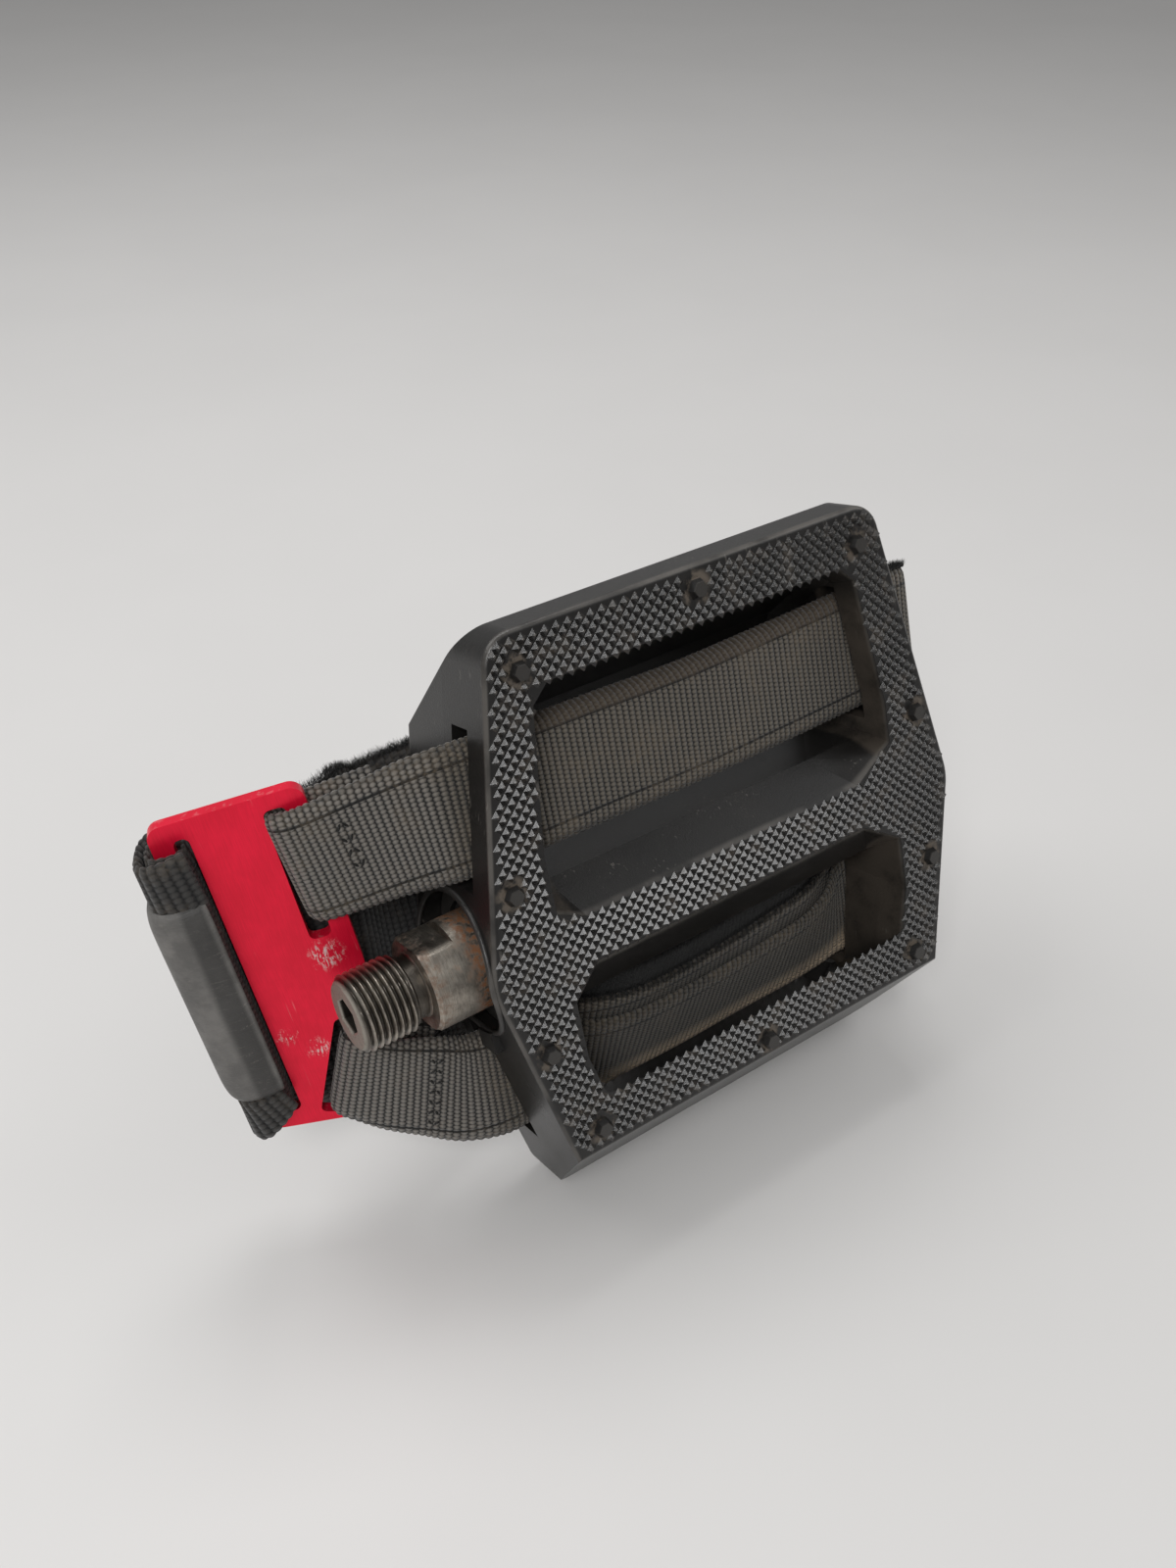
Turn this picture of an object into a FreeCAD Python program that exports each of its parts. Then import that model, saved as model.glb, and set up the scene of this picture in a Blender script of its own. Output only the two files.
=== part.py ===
import FreeCAD, Part
import math
import os
import re
import Sketcher
from FreeCAD import Placement, Rotation, Vector

# Moulded platform pedal with a strap foot retention, in millimetres.
# Pieces are laid out about the platform's centre: x along the spindle and away from the crank,
# y towards the long end of the shown face, z square to that face. A common placement then stands
# the pedal on its lower end with the spindle level and its thread's inner end at the origin.
values = {
    # Stance
    "shoulder_offset": 60.8, "lean_back": 19,
    # Platform
    "platform_width": 106.4, "end_width": 82, "nose_reach": 58.5, "heel_reach": 39,
    "platform_thickness": 29.2, "nose_height": 7.6, "wall_draft": 0.5, "corner_radius": 6,
    "waist_radius": 12, "rim_radius": 1,
    # Windows and the beam between them
    "bar_near": 2.8, "bar_far": 6, "beam_half": 12, "beam_flat": 7.5,
    "window_half": 38.6, "window_end_half": 34.3, "window_long": 48.3, "window_short": 29.5,
    "window_long_step": 1.3, "window_short_step": 7.5, "window_round": 3, "round_share": 0.11,
    "window_waist": 20, "corner_in": 5.5, "corner_out": 9, "corner_rise": 5.8, "beam_step": 0.4,
    # Strap slots in the end walls, set off from the beam and from the windows' long end
    "slot_clear": 3.5, "slot_inset": 5.2, "slot_level": 5.6, "slot_gap": 5.4,
    # Moulded pins
    "pin_flat": 3.5, "pin_height": 1.5, "pin_taper": 20, "pin_inset": 7, "pin_crown": 4.3,
    "pin_heel": 4.4, "pin_keel": 3, "pin_side": 15.6, "pin_end": 7.5, "pin_spread": 2,
    # Spindle
    "thread_radius": 7.14, "thread_length": 10.6, "neck_length": 2.4, "neck_radius": 5.7,
    "collar_radius": 9, "collar_length": 13.3, "wrench_flat": 15, "flat_length": 6.5,
    "journal_radius": 6, "journal_end": 22, "seat_radius": 4, "spindle_end": 36,
    "socket_flat": 6, "socket_depth": 8, "end_chamfer": 1.2,
    # Bearings and what holds them
    "running_clearance": 0.03, "bush_wall": 1.5, "bush_start": -43, "bush_length": 26,
    "bore_clearance": 0.8, "collar_clearance": 1, "seal_gap": 0.3, "seal_length": 3,
    "race_length": 6, "race_wall": 1.6, "ball_radius": 1.5, "ball_gap": 0.08, "ball_count": 7,
    "washer_length": 1.2, "washer_radius": 6.6, "nut_length": 5, "nut_flat": 11,
    "fastener_gap": 0.05, "recess_radius": 13.5, "recess_floor": -46.5, "cap_length": 1.5,
    "lug_near": 12.5, "lug_far": 17, "lug_width": 5, "lug_sink": 1.6, "lug_depth": 5,
    "plug_length": 5, "plug_flange": 1.6, "plug_lip": 1.5, "plug_depth": 3.5, "cover_gap": 0.3,
    # Strap plate, measured from the upper fold: across the plate, then down its length
    "plate_x": -72.1, "plate_y": 28.2, "plate_z": -8.1, "plate_turn": 20, "plate_pitch": 10,
    "plate_skew": 2.8, "plate_thickness": 2.4, "plate_top": 12.3, "plate_bottom": 58.7,
    "plate_bottom_rise": 3.2, "plate_left": 21, "plate_right": 4.7, "plate_shoulder": 25,
    "plate_round": 2.4, "plate_bar": 3.5,
    "wide_slot": 2.6, "wide_slot_top": 9, "wide_slot_bottom": 52.7,
    "narrow_slot": 3.8, "narrow_slot_top": 9.4, "narrow_slot_bottom": 17.5,
    "angle_slot_inset": 3.7, "angle_slot_top": 35.2, "angle_slot_length": 21.5, "angle_slot_lean": 23,
    "slot_round": 1.2,
    # Webbing
    "strap_ease": 1.8, "upper_fold": 23.8, "lower_fold": 18.5, "strap_thickness": 1.8,
    "strap_gap": 0.35, "strap_doubled": 14, "upper_bulge": 0.2, "lower_bulge": 2.2,
    "upper_drop": 25.3, "lower_drop": 4.9,
    "foot_width": 58.5, "foot_roll_width": 64, "foot_thickness": 1.8, "foot_depth": 42,
    "sleeve_thickness": 2.4, "sleeve_top": 1.5, "sleeve_bottom": 44,
    "hook_length": 22, "hook_thickness": 1, "tail_end": -4,
}

doc = FreeCAD.newDocument("strap_pedal")
sheet = doc.addObject("Spreadsheet::Sheet", "Sizes")
for row, (alias, value) in enumerate(values.items(), start=1):
    sheet.set(f"A{row}", alias)
    sheet.set(f"B{row}", str(value))
    sheet.setAlias(f"B{row}", alias)
doc.recompute()
nodes = []


def bound(text):
    return re.sub(r"\b[a-z_]+\b(?!\()", lambda word: "Sizes." + word.group(0), text)


def number(text):
    return float(sheet.evalExpression(bound(text)))


# The stance shared by every piece: lean about the spindle, then move the thread's inner end to the origin.
stance = Placement(Vector(number("shoulder_offset + neck_length"), 0, 0),
                   Rotation(Vector(1, 0, 0), 90 - number("lean_back")))


def keep(piece, label, placement=stance):
    piece.Label = label
    piece.Placement = placement
    nodes.append(piece)
    return piece


def stand(piece, label):
    keep(piece, label)
    piece.setExpression("Placement.Base.x", bound("shoulder_offset + neck_length"))
    piece.setExpression("Placement.Rotation.Angle", bound("90 - lean_back"))
    return piece


def origin_of(body, role):
    return next(item for item in body.Origin.OriginFeatures if item.Role == role)


def sketch_on(body, name, role, lift=None):
    sketch = body.newObject("Sketcher::SketchObject", name)
    sketch.AttachmentSupport = [(origin_of(body, role), "")]
    sketch.MapMode = "FlatFace"
    if lift:
        sketch.setExpression("AttachmentOffset.Base.z", bound(lift))
    return sketch


def pin_point(sketch, geometry, position, across, up):
    for kind, text, axis in (("DistanceX", across, -2), ("DistanceY", up, -1)):
        if text == "0":
            sketch.addConstraint(Sketcher.Constraint("PointOnObject", geometry, position, axis))
            continue
        index = sketch.addConstraint(
            Sketcher.Constraint(kind, -1, 1, geometry, position, number(text)))
        sketch.setExpression(f"Constraints[{index}]", bound(text))


def outline(sketch, corners):
    points = [Vector(number(across), number(up), 0) for across, up in corners]
    first = sketch.GeometryCount
    count = len(points)
    for index in range(count):
        sketch.addGeometry(Part.LineSegment(points[index], points[(index + 1) % count]), False)
    for index, (across, up) in enumerate(corners):
        after = first + (index + 1) % count
        sketch.addConstraint(Sketcher.Constraint("Coincident", first + index, 2, after, 1))
        pin_point(sketch, first + index, 1, across, up)


def circle(sketch, across, up, radius):
    centre = Vector(number(across), number(up), 0)
    geometry = sketch.addGeometry(Part.Circle(centre, Vector(0, 0, 1), number(radius)), False)
    pin_point(sketch, geometry, 3, across, up)
    index = sketch.addConstraint(Sketcher.Constraint("Radius", geometry, number(radius)))
    sketch.setExpression(f"Constraints[{index}]", bound(radius))


def extrude(body, kind, sketch, length, both=False, flip=False, taper=None):
    feature = body.newObject("PartDesign::" + kind, sketch.Name + "_" + kind.lower())
    feature.Profile = sketch
    feature.SideType = "Symmetric" if both else "One side"
    feature.Reversed = flip
    feature.setExpression("Length", bound(length))
    if taper:
        feature.setExpression("TaperAngle", bound(taper))
    return feature


def turn(body, kind, sketch):
    feature = body.newObject("PartDesign::" + kind, sketch.Name + "_" + kind.lower())
    feature.Profile = sketch
    feature.ReferenceAxis = (sketch, ["H_Axis"])
    feature.Angle = 360
    return feature


def twofold(body, feature, name):
    pattern = body.newObject("PartDesign::PolarPattern", name)
    pattern.Originals = [feature]
    pattern.Axis = (origin_of(body, "X_Axis"), [""])
    pattern.Angle = 360
    pattern.Occurrences = 2
    body.Tip = pattern
    return pattern


def round_edges(body, name, radius, chosen):
    doc.recompute()
    base = body.Tip
    edges = [f"Edge{index}" for index, edge in enumerate(base.Shape.Edges, start=1) if chosen(edge)]
    feature = body.newObject("PartDesign::Fillet", name)
    feature.Base = (base, edges)
    feature.setExpression("Radius", bound(radius))
    return feature


def turned(label, corners):
    body = doc.addObject("PartDesign::Body", label)
    sketch = sketch_on(body, label + "_section", "XY_Plane")
    outline(sketch, corners)
    turn(body, "Revolution", sketch)
    return stand(body, label)


# Platform: a flared plan cut to a leaning side section, the same after half a turn about the spindle.
def pedal_body():
    body = doc.addObject("PartDesign::Body", "pedal_body")
    plan = sketch_on(body, "plan", "XY_Plane")
    tip, end, reach = "platform_width / 2", "end_width / 2", "nose_reach"
    outline(plan, [(tip, "0"), (end, reach), ("-" + end, reach),
                   ("-" + tip, "0"), ("-" + end, "-" + reach), (end, "-" + reach)])
    extrude(body, "Pad", plan, "platform_thickness", both=True, taper="-wall_draft")
    half = number("platform_thickness / 2")
    rising = lambda edge: abs(edge.tangentAt(edge.FirstParameter).z) > 0.5
    at_end = lambda edge: abs(edge.CenterOfMass.y) > number("heel_reach")
    round_edges(body, "plan_corners", "corner_radius", lambda edge: rising(edge) and at_end(edge))
    round_edges(body, "plan_waist", "waist_radius",
                lambda edge: rising(edge) and abs(edge.CenterOfMass.y) < number("bar_near"))

    side = sketch_on(body, "side_trim", "YZ_Plane")
    face, shelf = "platform_thickness / 2", "platform_thickness / 2 - nose_height"
    outline(side, [("nose_reach + nose_height", face), ("nose_reach", shelf),
                   ("heel_reach", "-" + face), ("heel_reach", "-platform_thickness"),
                   ("nose_reach + nose_height", "-platform_thickness")])
    trim = extrude(body, "Pocket", side, "2 * platform_width", both=True)
    twofold(body, trim, "ends")
    round_edges(body, "rim", "rim_radius",
                lambda edge: all(abs(abs(corner.Z) - half) < 0.01 for corner in edge.Vertexes))

    windows(body)
    low, high = "slot_level - slot_gap / 2", "slot_level + slot_gap / 2"
    for name, sign, flip in (("outboard", "", False), ("inboard", "-", True)):
        slot = sketch_on(body, name + "_slot", "YZ_Plane", sign + "platform_width / 2")
        outline(slot, [(slot_near, low), (slot_far, low), (slot_far, high), (slot_near, high)])
        cut = extrude(body, "Pocket", slot, "platform_width / 2 - window_end_half", flip=flip)
        twofold(body, cut, name + "_slots")

    lug = sketch_on(body, "lug", "YZ_Plane", "lug_sink - platform_width / 2")
    outline(lug, [("-lug_far", "0"), ("-lug_near", "0"),
                  ("-lug_near", "lug_width"), ("-lug_far", "lug_width")])
    extrude(body, "Pad", lug, "lug_depth")
    bore = sketch_on(body, "bore", "XY_Plane")
    front, back = "-platform_width", "platform_width"
    outline(bore, [(front, "0"), (front, "recess_radius"), ("recess_floor", "recess_radius"),
                   ("recess_floor", collar_bore), ("bush_start", collar_bore),
                   ("bush_start", bush_outer), (bush_stop, bush_outer), (bush_stop, clear_bore),
                   ("journal_end", clear_bore), ("journal_end", race_outer),
                   (plug_seat, race_outer), (plug_seat, plug_outer), (back, plug_outer), (back, "0")])
    turn(body, "Groove", bore)
    pins(body)
    return stand(body, "pedal_body")


# Both windows are one lofted opening and its half turn: the bar on each face is bevelled back to an
# upright beam, and the opening leans with the end rail.
def windows(body):
    face = "platform_thickness / 2"
    left, right = "-window_half", "window_half"

    def far_end(half, far):
        beside = f"({half} + (window_half - {half}) * round_share)"
        below = f"{far} - ({far} - window_waist) * round_share"
        return [(right, "window_waist"), (beside, below), (f"{half} - window_round", far),
                (f"window_round - {half}", far), ("-" + beside, below), (left, "window_waist")]

    front = [("corner_in - window_half", "bar_far"), ("window_half - corner_out", "bar_far"),
             (right, "bar_far + corner_rise"), *far_end("window_end_half", "window_long"),
             (left, "bar_far + corner_in / 2")]
    inner = [("corner_in / 2 - window_half", "beam_half"),
             ("window_half - corner_out - corner_rise", "beam_half"), (right, "beam_half + beam_step"),
             *far_end("window_end_half", "(window_long - window_long_step)"),
             (left, "beam_half + beam_step")]
    outer = [("corner_in / 2 - window_half", "beam_half"), ("window_half - corner_in / 2", "beam_half"),
             (right, "beam_half + beam_step"),
             *far_end("window_end_half", "(window_short + window_short_step)"),
             (left, "beam_half + beam_step")]
    rear = [("corner_in - window_half", "bar_near"), ("window_half - corner_out", "bar_near"),
            (right, "bar_near + corner_rise"),
            *far_end("((window_half + window_end_half) / 2)", "window_short"),
            (left, "bar_near + corner_in")]
    levels = [("front_over", face + " + 1", front), ("front_edge", face, front),
              ("beam_front", "beam_flat", inner), ("beam_rear", "-beam_flat", outer),
              ("rear_edge", "-" + face, rear), ("rear_over", f"-({face} + 1)", rear)]
    sections = []
    for name, lift, corners in levels:
        section = sketch_on(body, name, "XY_Plane", lift)
        outline(section, corners)
        sections.append(section)
    opening = body.newObject("PartDesign::SubtractiveLoft", "window")
    opening.Profile = sections[0]
    opening.Sections = sections[1:]
    opening.Ruled = True
    twofold(body, opening, "windows")


def pins(body):
    sketch = sketch_on(body, "pin_places", "XY_Plane", "platform_thickness / 2")
    places = [("0", "nose_reach - pin_crown"), ("0", "pin_keel - heel_reach")]
    for side in ("", "-"):
        places += [(f"{side}(end_width / 2 - pin_inset + pin_spread)", "nose_reach - pin_inset"),
                   (f"{side}(platform_width / 2 - pin_end)", "pin_side"),
                   (f"{side}(platform_width / 2 - pin_end)", "-pin_side"),
                   (f"{side}(end_width / 2 - pin_spread)", "pin_heel - heel_reach")]
    for across, up in places:
        hexagon(sketch, "pin_flat", across, up)
    twofold(body, extrude(body, "Pad", sketch, "pin_height", taper="-pin_taper"), "pins")


# Slots, bores and seats named once and shared by the platform and what sits in it.
slot_near = "beam_half + slot_clear"
slot_far = "window_long - slot_inset"
slot_middle = "(beam_half + slot_clear + window_long - slot_inset) / 2"
strap_width = "window_long - slot_inset - beam_half - slot_clear - 2 * strap_ease"
collar_bore = "collar_radius + collar_clearance"
bush_inner = "journal_radius + running_clearance"
bush_outer = "journal_radius + running_clearance + bush_wall"
bush_stop = "bush_start + bush_length"
clear_bore = "journal_radius + bore_clearance"
race_track = "seat_radius + race_wall"
ball_circle = "seat_radius + race_wall + ball_gap + ball_radius"
race_bore = "seat_radius + race_wall + 2 * ball_gap + 2 * ball_radius"
race_outer = "seat_radius + 2 * race_wall + 2 * ball_gap + 2 * ball_radius"
race_stop = "journal_end + race_length"
washer_stop = "journal_end + race_length + washer_length"
plug_seat = "platform_width / 2 - plug_depth"
plug_outer = "seat_radius + 2 * race_wall + 2 * ball_gap + 2 * ball_radius + plug_lip"


def spindle():
    shoulder, thread_stop = "-shoulder_offset", "-(shoulder_offset + neck_length)"
    start = "-(shoulder_offset + neck_length + thread_length)"
    collar_stop = "collar_length - shoulder_offset"
    body = turned("spindle", [
        (start, "0"), (start, "thread_radius - end_chamfer"),
        (start + " + end_chamfer", "thread_radius"), (thread_stop, "thread_radius"),
        (thread_stop, "neck_radius"), (shoulder, "neck_radius"),
        (shoulder, "collar_radius - end_chamfer / 2"),
        (shoulder + " + end_chamfer / 2", "collar_radius"), (collar_stop, "collar_radius"),
        (collar_stop, "journal_radius"), ("journal_end", "journal_radius"),
        ("journal_end", "seat_radius"), ("spindle_end - end_chamfer", "seat_radius"),
        ("spindle_end", "seat_radius - end_chamfer"), ("spindle_end", "0")])
    flats = sketch_on(body, "wrench_flats", "XY_Plane")
    over = "2 * collar_radius"
    outline(flats, [(thread_stop, "wrench_flat / 2"), ("flat_length - shoulder_offset", "wrench_flat / 2"),
                    ("flat_length - shoulder_offset", over), (thread_stop, over)])
    twofold(body, extrude(body, "Pocket", flats, "3 * collar_radius", both=True), "flats")
    socket = sketch_on(body, "socket", "YZ_Plane", start)
    hexagon(socket, "socket_flat")
    extrude(body, "Pocket", socket, "socket_depth", flip=True)


def hexagon(sketch, flat, across="0", up="0"):
    point, shoulder, half = f"{flat} / sqrt(3)", f"{flat} / sqrt(12)", f"{flat} / 2"
    turns = ((point, ""), (shoulder, half), ("-" + shoulder, half),
             ("-" + point, ""), ("-" + shoulder, "-" + half), (shoulder, "-" + half))
    outline(sketch, [(f"{across} + {run}", f"{up} + {rise}" if rise else up) for run, rise in turns])


def ring(label, start, stop, inner, outer):
    return turned(label, [(start, inner), (stop, inner), (stop, outer), (start, outer)])


def bearings():
    seal_start = "collar_length - shoulder_offset + seal_gap"
    ring("seal_ring", seal_start, seal_start + " + seal_length", "journal_radius + seal_gap", collar_bore)
    ring("inner_bush", "bush_start", bush_stop, bush_inner, bush_outer)
    ring("bearing_outer_race", "journal_end", race_stop, race_bore, race_outer)
    ring("bearing_inner_race", "journal_end", race_stop, "seat_radius", race_track)
    ring("lock_washer", race_stop, washer_stop, "seat_radius + fastener_gap", "washer_radius")
    nut = doc.addObject("PartDesign::Body", "lock_nut")
    profile = sketch_on(nut, "nut_profile", "YZ_Plane", washer_stop)
    hexagon(profile, "nut_flat")
    circle(profile, "0", "0", "seat_radius + fastener_gap")
    extrude(nut, "Pad", profile, "nut_length")
    stand(nut, "lock_nut")
    balls = doc.addObject("Part::Feature", "bearing_balls")
    reach, middle = number(ball_circle), number("journal_end + race_length / 2")
    shapes = []
    for index in range(round(number("ball_count"))):
        angle = 2 * math.pi * index / round(number("ball_count"))
        centre = Vector(middle, reach * math.cos(angle), reach * math.sin(angle))
        shapes.append(Part.makeSphere(number("ball_radius"), centre))
    balls.Shape = Part.makeCompound(shapes)
    keep(balls, "bearing_balls")


def covers():
    ring("bearing_cap", "recess_floor - cap_length", "recess_floor",
         collar_bore + " + cover_gap", "recess_radius - cover_gap")
    skirt, lip = f"{plug_seat} - plug_length", f"{race_outer} - plug_lip"
    top = f"{plug_seat} + plug_flange"
    turned("end_cap", [(skirt, lip), (skirt, race_outer), (plug_seat, race_outer),
                       (plug_seat, plug_outer + " - cover_gap"), (top, plug_outer + " - cover_gap"),
                       (top, "0"), (plug_seat, "0"), (plug_seat, lip)])


# The plate hangs between the straps, turned out of the platform's plane.
turnings = Rotation(Vector(0, 1, 0), -number("plate_turn")) \
    * Rotation(Vector(1, 0, 0), number("plate_pitch")) * Rotation(Vector(0, 0, 1), number("plate_skew"))
hang = Placement(Vector(number("plate_x"), number("plate_y"), number("plate_z")), turnings)


def strap_plate():
    body = doc.addObject("PartDesign::Body", "strap_plate")
    sketch = sketch_on(body, "plate_outline", "XY_Plane")
    left, right = "-plate_left", "plate_right"
    rim = "(narrow_slot + plate_bar)"
    slant_x = f"({rim} * cos(angle_slot_lean) - angle_slot_inset)"
    slant_y = f"(angle_slot_top + {rim} * sin(angle_slot_lean))"
    outline(sketch, [(left, "plate_top"), (right, "plate_top"), (right, "-plate_shoulder"),
                     (slant_x, "-" + slant_y),
                     (f"{slant_x} - (plate_bottom - {slant_y}) * tan(angle_slot_lean)", "-plate_bottom"),
                     (left, "plate_bottom_rise - plate_bottom")])
    bar = "plate_bar - plate_left"
    wide = [(bar, "wide_slot_top"), (bar + " + wide_slot", "wide_slot_top"),
            (bar + " + wide_slot", "-wide_slot_bottom"), (bar, "-wide_slot_bottom")]
    stop = "plate_right - plate_bar"
    narrow = [(stop + " - narrow_slot", "narrow_slot_top"), (stop, "narrow_slot_top"),
              (stop, "-narrow_slot_bottom"), (stop + " - narrow_slot", "-narrow_slot_bottom")]
    run, drop = "angle_slot_length * sin(angle_slot_lean)", "angle_slot_length * cos(angle_slot_lean)"
    over, under = "narrow_slot * cos(angle_slot_lean)", "narrow_slot * sin(angle_slot_lean)"
    inset, level = "-angle_slot_inset", "-angle_slot_top"
    angled = [(inset, level), (f"{inset} + {over}", f"{level} - {under}"),
              (f"{inset} - {run} + {over}", f"{level} - {drop} - {under}"),
              (f"{inset} - {run}", f"{level} - {drop}")]
    for slot in (wide, narrow, angled):
        outline(sketch, slot)
    extrude(body, "Pad", sketch, "plate_thickness", both=True)
    ends = [Vector(number(across), number(up), 0) for across, up in wide + narrow + angled]
    round_edges(body, "slot_ends", "slot_round",
                lambda edge: any(edge.CenterOfMass.distanceToPoint(end) < 0.01 for end in ends))
    upright = lambda edge: abs(edge.tangentAt(edge.FirstParameter).z) > 0.9
    reach = lambda spot: spot.x < -number("plate_left - 0.1") or spot.y > number("plate_top - 0.1") \
        or spot.y < -number("plate_bottom - 0.1")
    round_edges(body, "plate_corners", "plate_round",
                lambda edge: upright(edge) and reach(edge.CenterOfMass))
    keep(body, "strap_plate", stance.multiply(hang))


# Webbing: rectangles lofted along stations of centre, across-direction and width.
def webbing(label, stations, thickness):
    wires = []
    for index, (centre, across, width) in enumerate(stations):
        before = stations[max(index - 1, 0)][0]
        after = stations[min(index + 1, len(stations) - 1)][0]
        run = (after - before).normalize()
        square = (across - run * across.dot(run)).normalize()
        out = run.cross(square) * (thickness / 2)
        side = square * (width / 2)
        corners = [centre - side - out, centre + side - out, centre + side + out, centre - side + out]
        wires.append(Part.makePolygon(corners + corners[:1]))
    piece = doc.addObject("Part::Feature", label)
    piece.Shape = Part.makeLoft(wires, True, True)
    keep(piece, label)


across_platform = Vector(0, 1, 0)


def on_plate(across, up, out):
    return hang.multVec(Vector(across, up, out))


# A strap leaves a plate bar doubled, crosses the platform through its slots and closes behind the foot.
def platform_strap(label, bar, along, sign, turn_in, fold, bulge, drop):
    thickness, gap, width = number("strap_thickness"), number("strap_gap"), number(strap_width)
    lift = number("plate_thickness") / 2 + gap + thickness / 2
    across = turnings.multVec(Vector(-along.y, along.x, 0))
    place = lambda run, out: on_plate(bar.x + along.x * run, bar.y + along.y * run, out)
    route = [(number("strap_doubled"), -lift), (0, -lift), (-turn_in + thickness / 2, -lift),
             (-turn_in, -lift / 2), (-turn_in, lift / 2), (-turn_in + thickness / 2, lift),
             (0, lift), (number("strap_doubled") * 0.4, lift + bulge)]
    stations = [(place(run, out), across, fold) for run, out in route]
    middle, level = sign * number(slot_middle), sign * number("slot_level")
    wall = number("platform_width") / 2
    tail = number("foot_depth") + thickness + number("hook_thickness") + 2 * gap
    loop = [(4 - wall, 0, level), (12 - wall, 0, level), (wall - 12, 0, level), (wall - 4, 0, level),
            (wall + 2, 0.03, level - 1.6), (wall + 5, 0.11, level - 6.5), (wall + 5.3, 0.26, level - 14.5),
            (wall + 2.5, 0.57, 19 - tail), (wall - 5, 0.79, 9 - tail), (wall - 16.5, 0.92, 2 - tail),
            (wall - 25.5, 0.98, 0.2 - tail), (wall - 32.5, 1, -tail), (number("tail_end"), 1, -tail)]
    stations += [(Vector(x, middle - drop * share, z), across_platform, width) for x, share, z in loop]
    webbing(label, stations, thickness)


def foot_strap():
    thickness, gap = number("foot_thickness"), number("strap_gap")
    lift = number("plate_thickness") / 2 + gap + thickness / 2
    under = lift + thickness + gap
    slot = number("plate_bar - plate_left + wide_slot / 2")
    left = -number("plate_left") - gap - thickness / 2
    centre = number("(wide_slot_top - wide_slot_bottom) / 2")
    across = turnings.multVec(across_platform)
    route = [(slot + 3.4, -lift), (slot + 1.4, -lift), (slot, -lift / 2), (slot, lift / 2),
             (slot - 1.4, lift), (left + 1.4, lift), (left, lift / 2), (left, -lift),
             (left + 1.8, -under), (4, -under - 1)]
    width, roll = number("foot_width"), number("foot_roll_width")
    stations = [(on_plate(run, centre, out), across, roll if run < slot - 2 else width)
                for run, out in route]
    wall, depth = number("platform_width") / 2, number("foot_depth")
    loop = [(-wall - 3.5, 6, -20), (5 - wall, 5.5, -22.3), (12 - wall, 4, -25), (18 - wall, 0, -30.8),
            (23 - wall, -5, 4.5 - depth), (29 - wall, -8.5, 0.6 - depth), (35 - wall, -9.5, -depth),
            (wall - 33.5, -9.5, -depth), (wall - 24.5, -9, 1 - depth), (wall - 10.5, -9, 7 - depth),
            (wall - 2.5, -8, -27), (wall + 1, -6, -18.5)]
    stations += [(Vector(*place), across_platform, width) for place in loop]
    webbing("foot_strap", stations, thickness)


def sleeve():
    thickness, gap = number("sleeve_thickness"), number("strap_gap")
    lift = number("plate_thickness / 2 + foot_thickness") + 2 * gap + thickness / 2
    left = -number("plate_left + foot_thickness") - 2 * gap - thickness / 2
    under = lift + number("foot_thickness") + 2 * gap
    slot = number("plate_bar - plate_left + wide_slot / 2")
    centre = -number("(sleeve_top + sleeve_bottom) / 2")
    across = turnings.multVec(across_platform)
    route = [(slot - 0.5, lift), (left + 1.6, lift), (left, lift / 2), (left, -lift - 0.6),
             (left + 2, -under), (slot, -under)]
    width = number("sleeve_bottom - sleeve_top")
    webbing("grip_sleeve", [(on_plate(run, centre, out), across, width) for run, out in route], thickness)


def hook_patch(label, sign, drop):
    patch = doc.addObject("Part::Box", label)
    patch.setExpression("Length", bound("hook_length"))
    patch.setExpression("Width", bound(strap_width))
    patch.setExpression("Height", bound("hook_thickness"))
    level = -number("foot_depth + foot_thickness / 2 + strap_gap + hook_thickness")
    low = sign * number(slot_middle) - drop - number(strap_width) / 2
    keep(patch, label, stance.multiply(Placement(Vector(number("tail_end"), low, level), Rotation())))


pedal_body()
spindle()
bearings()
covers()
strap_plate()
bar_run = "plate_right - plate_bar / 2"
upper_bar = Vector(number(bar_run), number("(narrow_slot_top - narrow_slot_bottom) / 2"), 0)
upper_drop, lower_drop = number("upper_drop"), number("lower_drop")
upper_turn = number("plate_bar / 2 + narrow_slot - strap_gap - strap_thickness / 2")
lower_turn = number("plate_bar / 2 + strap_gap + strap_thickness / 2")
platform_strap("upper_strap", upper_bar, Vector(1, 0, 0), 1, upper_turn,
               number("upper_fold"), number("upper_bulge"), upper_drop)
slope = Rotation(Vector(0, 0, 1), -number("angle_slot_lean")).multVec(Vector(1, 0, 0))
lower_bar = Vector(-number("angle_slot_inset"), -number("angle_slot_top"), 0) \
    + Vector(slope.y, -slope.x, 0) * number("angle_slot_length / 2") \
    + slope * number("narrow_slot + plate_bar / 2")
platform_strap("lower_strap", lower_bar, slope, -1, lower_turn,
               number("lower_fold"), number("lower_bulge"), lower_drop)
foot_strap()
sleeve()
hook_patch("upper_hook_patch", 1, upper_drop)
hook_patch("lower_hook_patch", -1, lower_drop)

doc.recompute()
failed = [item.Name for item in doc.Objects if "Invalid" in item.State or "Error" in item.State]
failed += [piece.Label for piece in nodes if piece.Shape.isNull() or not piece.Shape.isValid()]
if failed:
    raise RuntimeError("not built: " + ", ".join(failed))
os.makedirs("parts", exist_ok=True)
for piece in nodes:
    piece.Shape.exportStep(f"parts/{piece.Label}.step")
    print(f"{piece.Label}: {len(piece.Shape.Solids)} solid, {piece.Shape.Volume:.0f} mm3")
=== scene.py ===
import math
import bpy
import bmesh
from mathutils import Matrix, Vector


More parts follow.
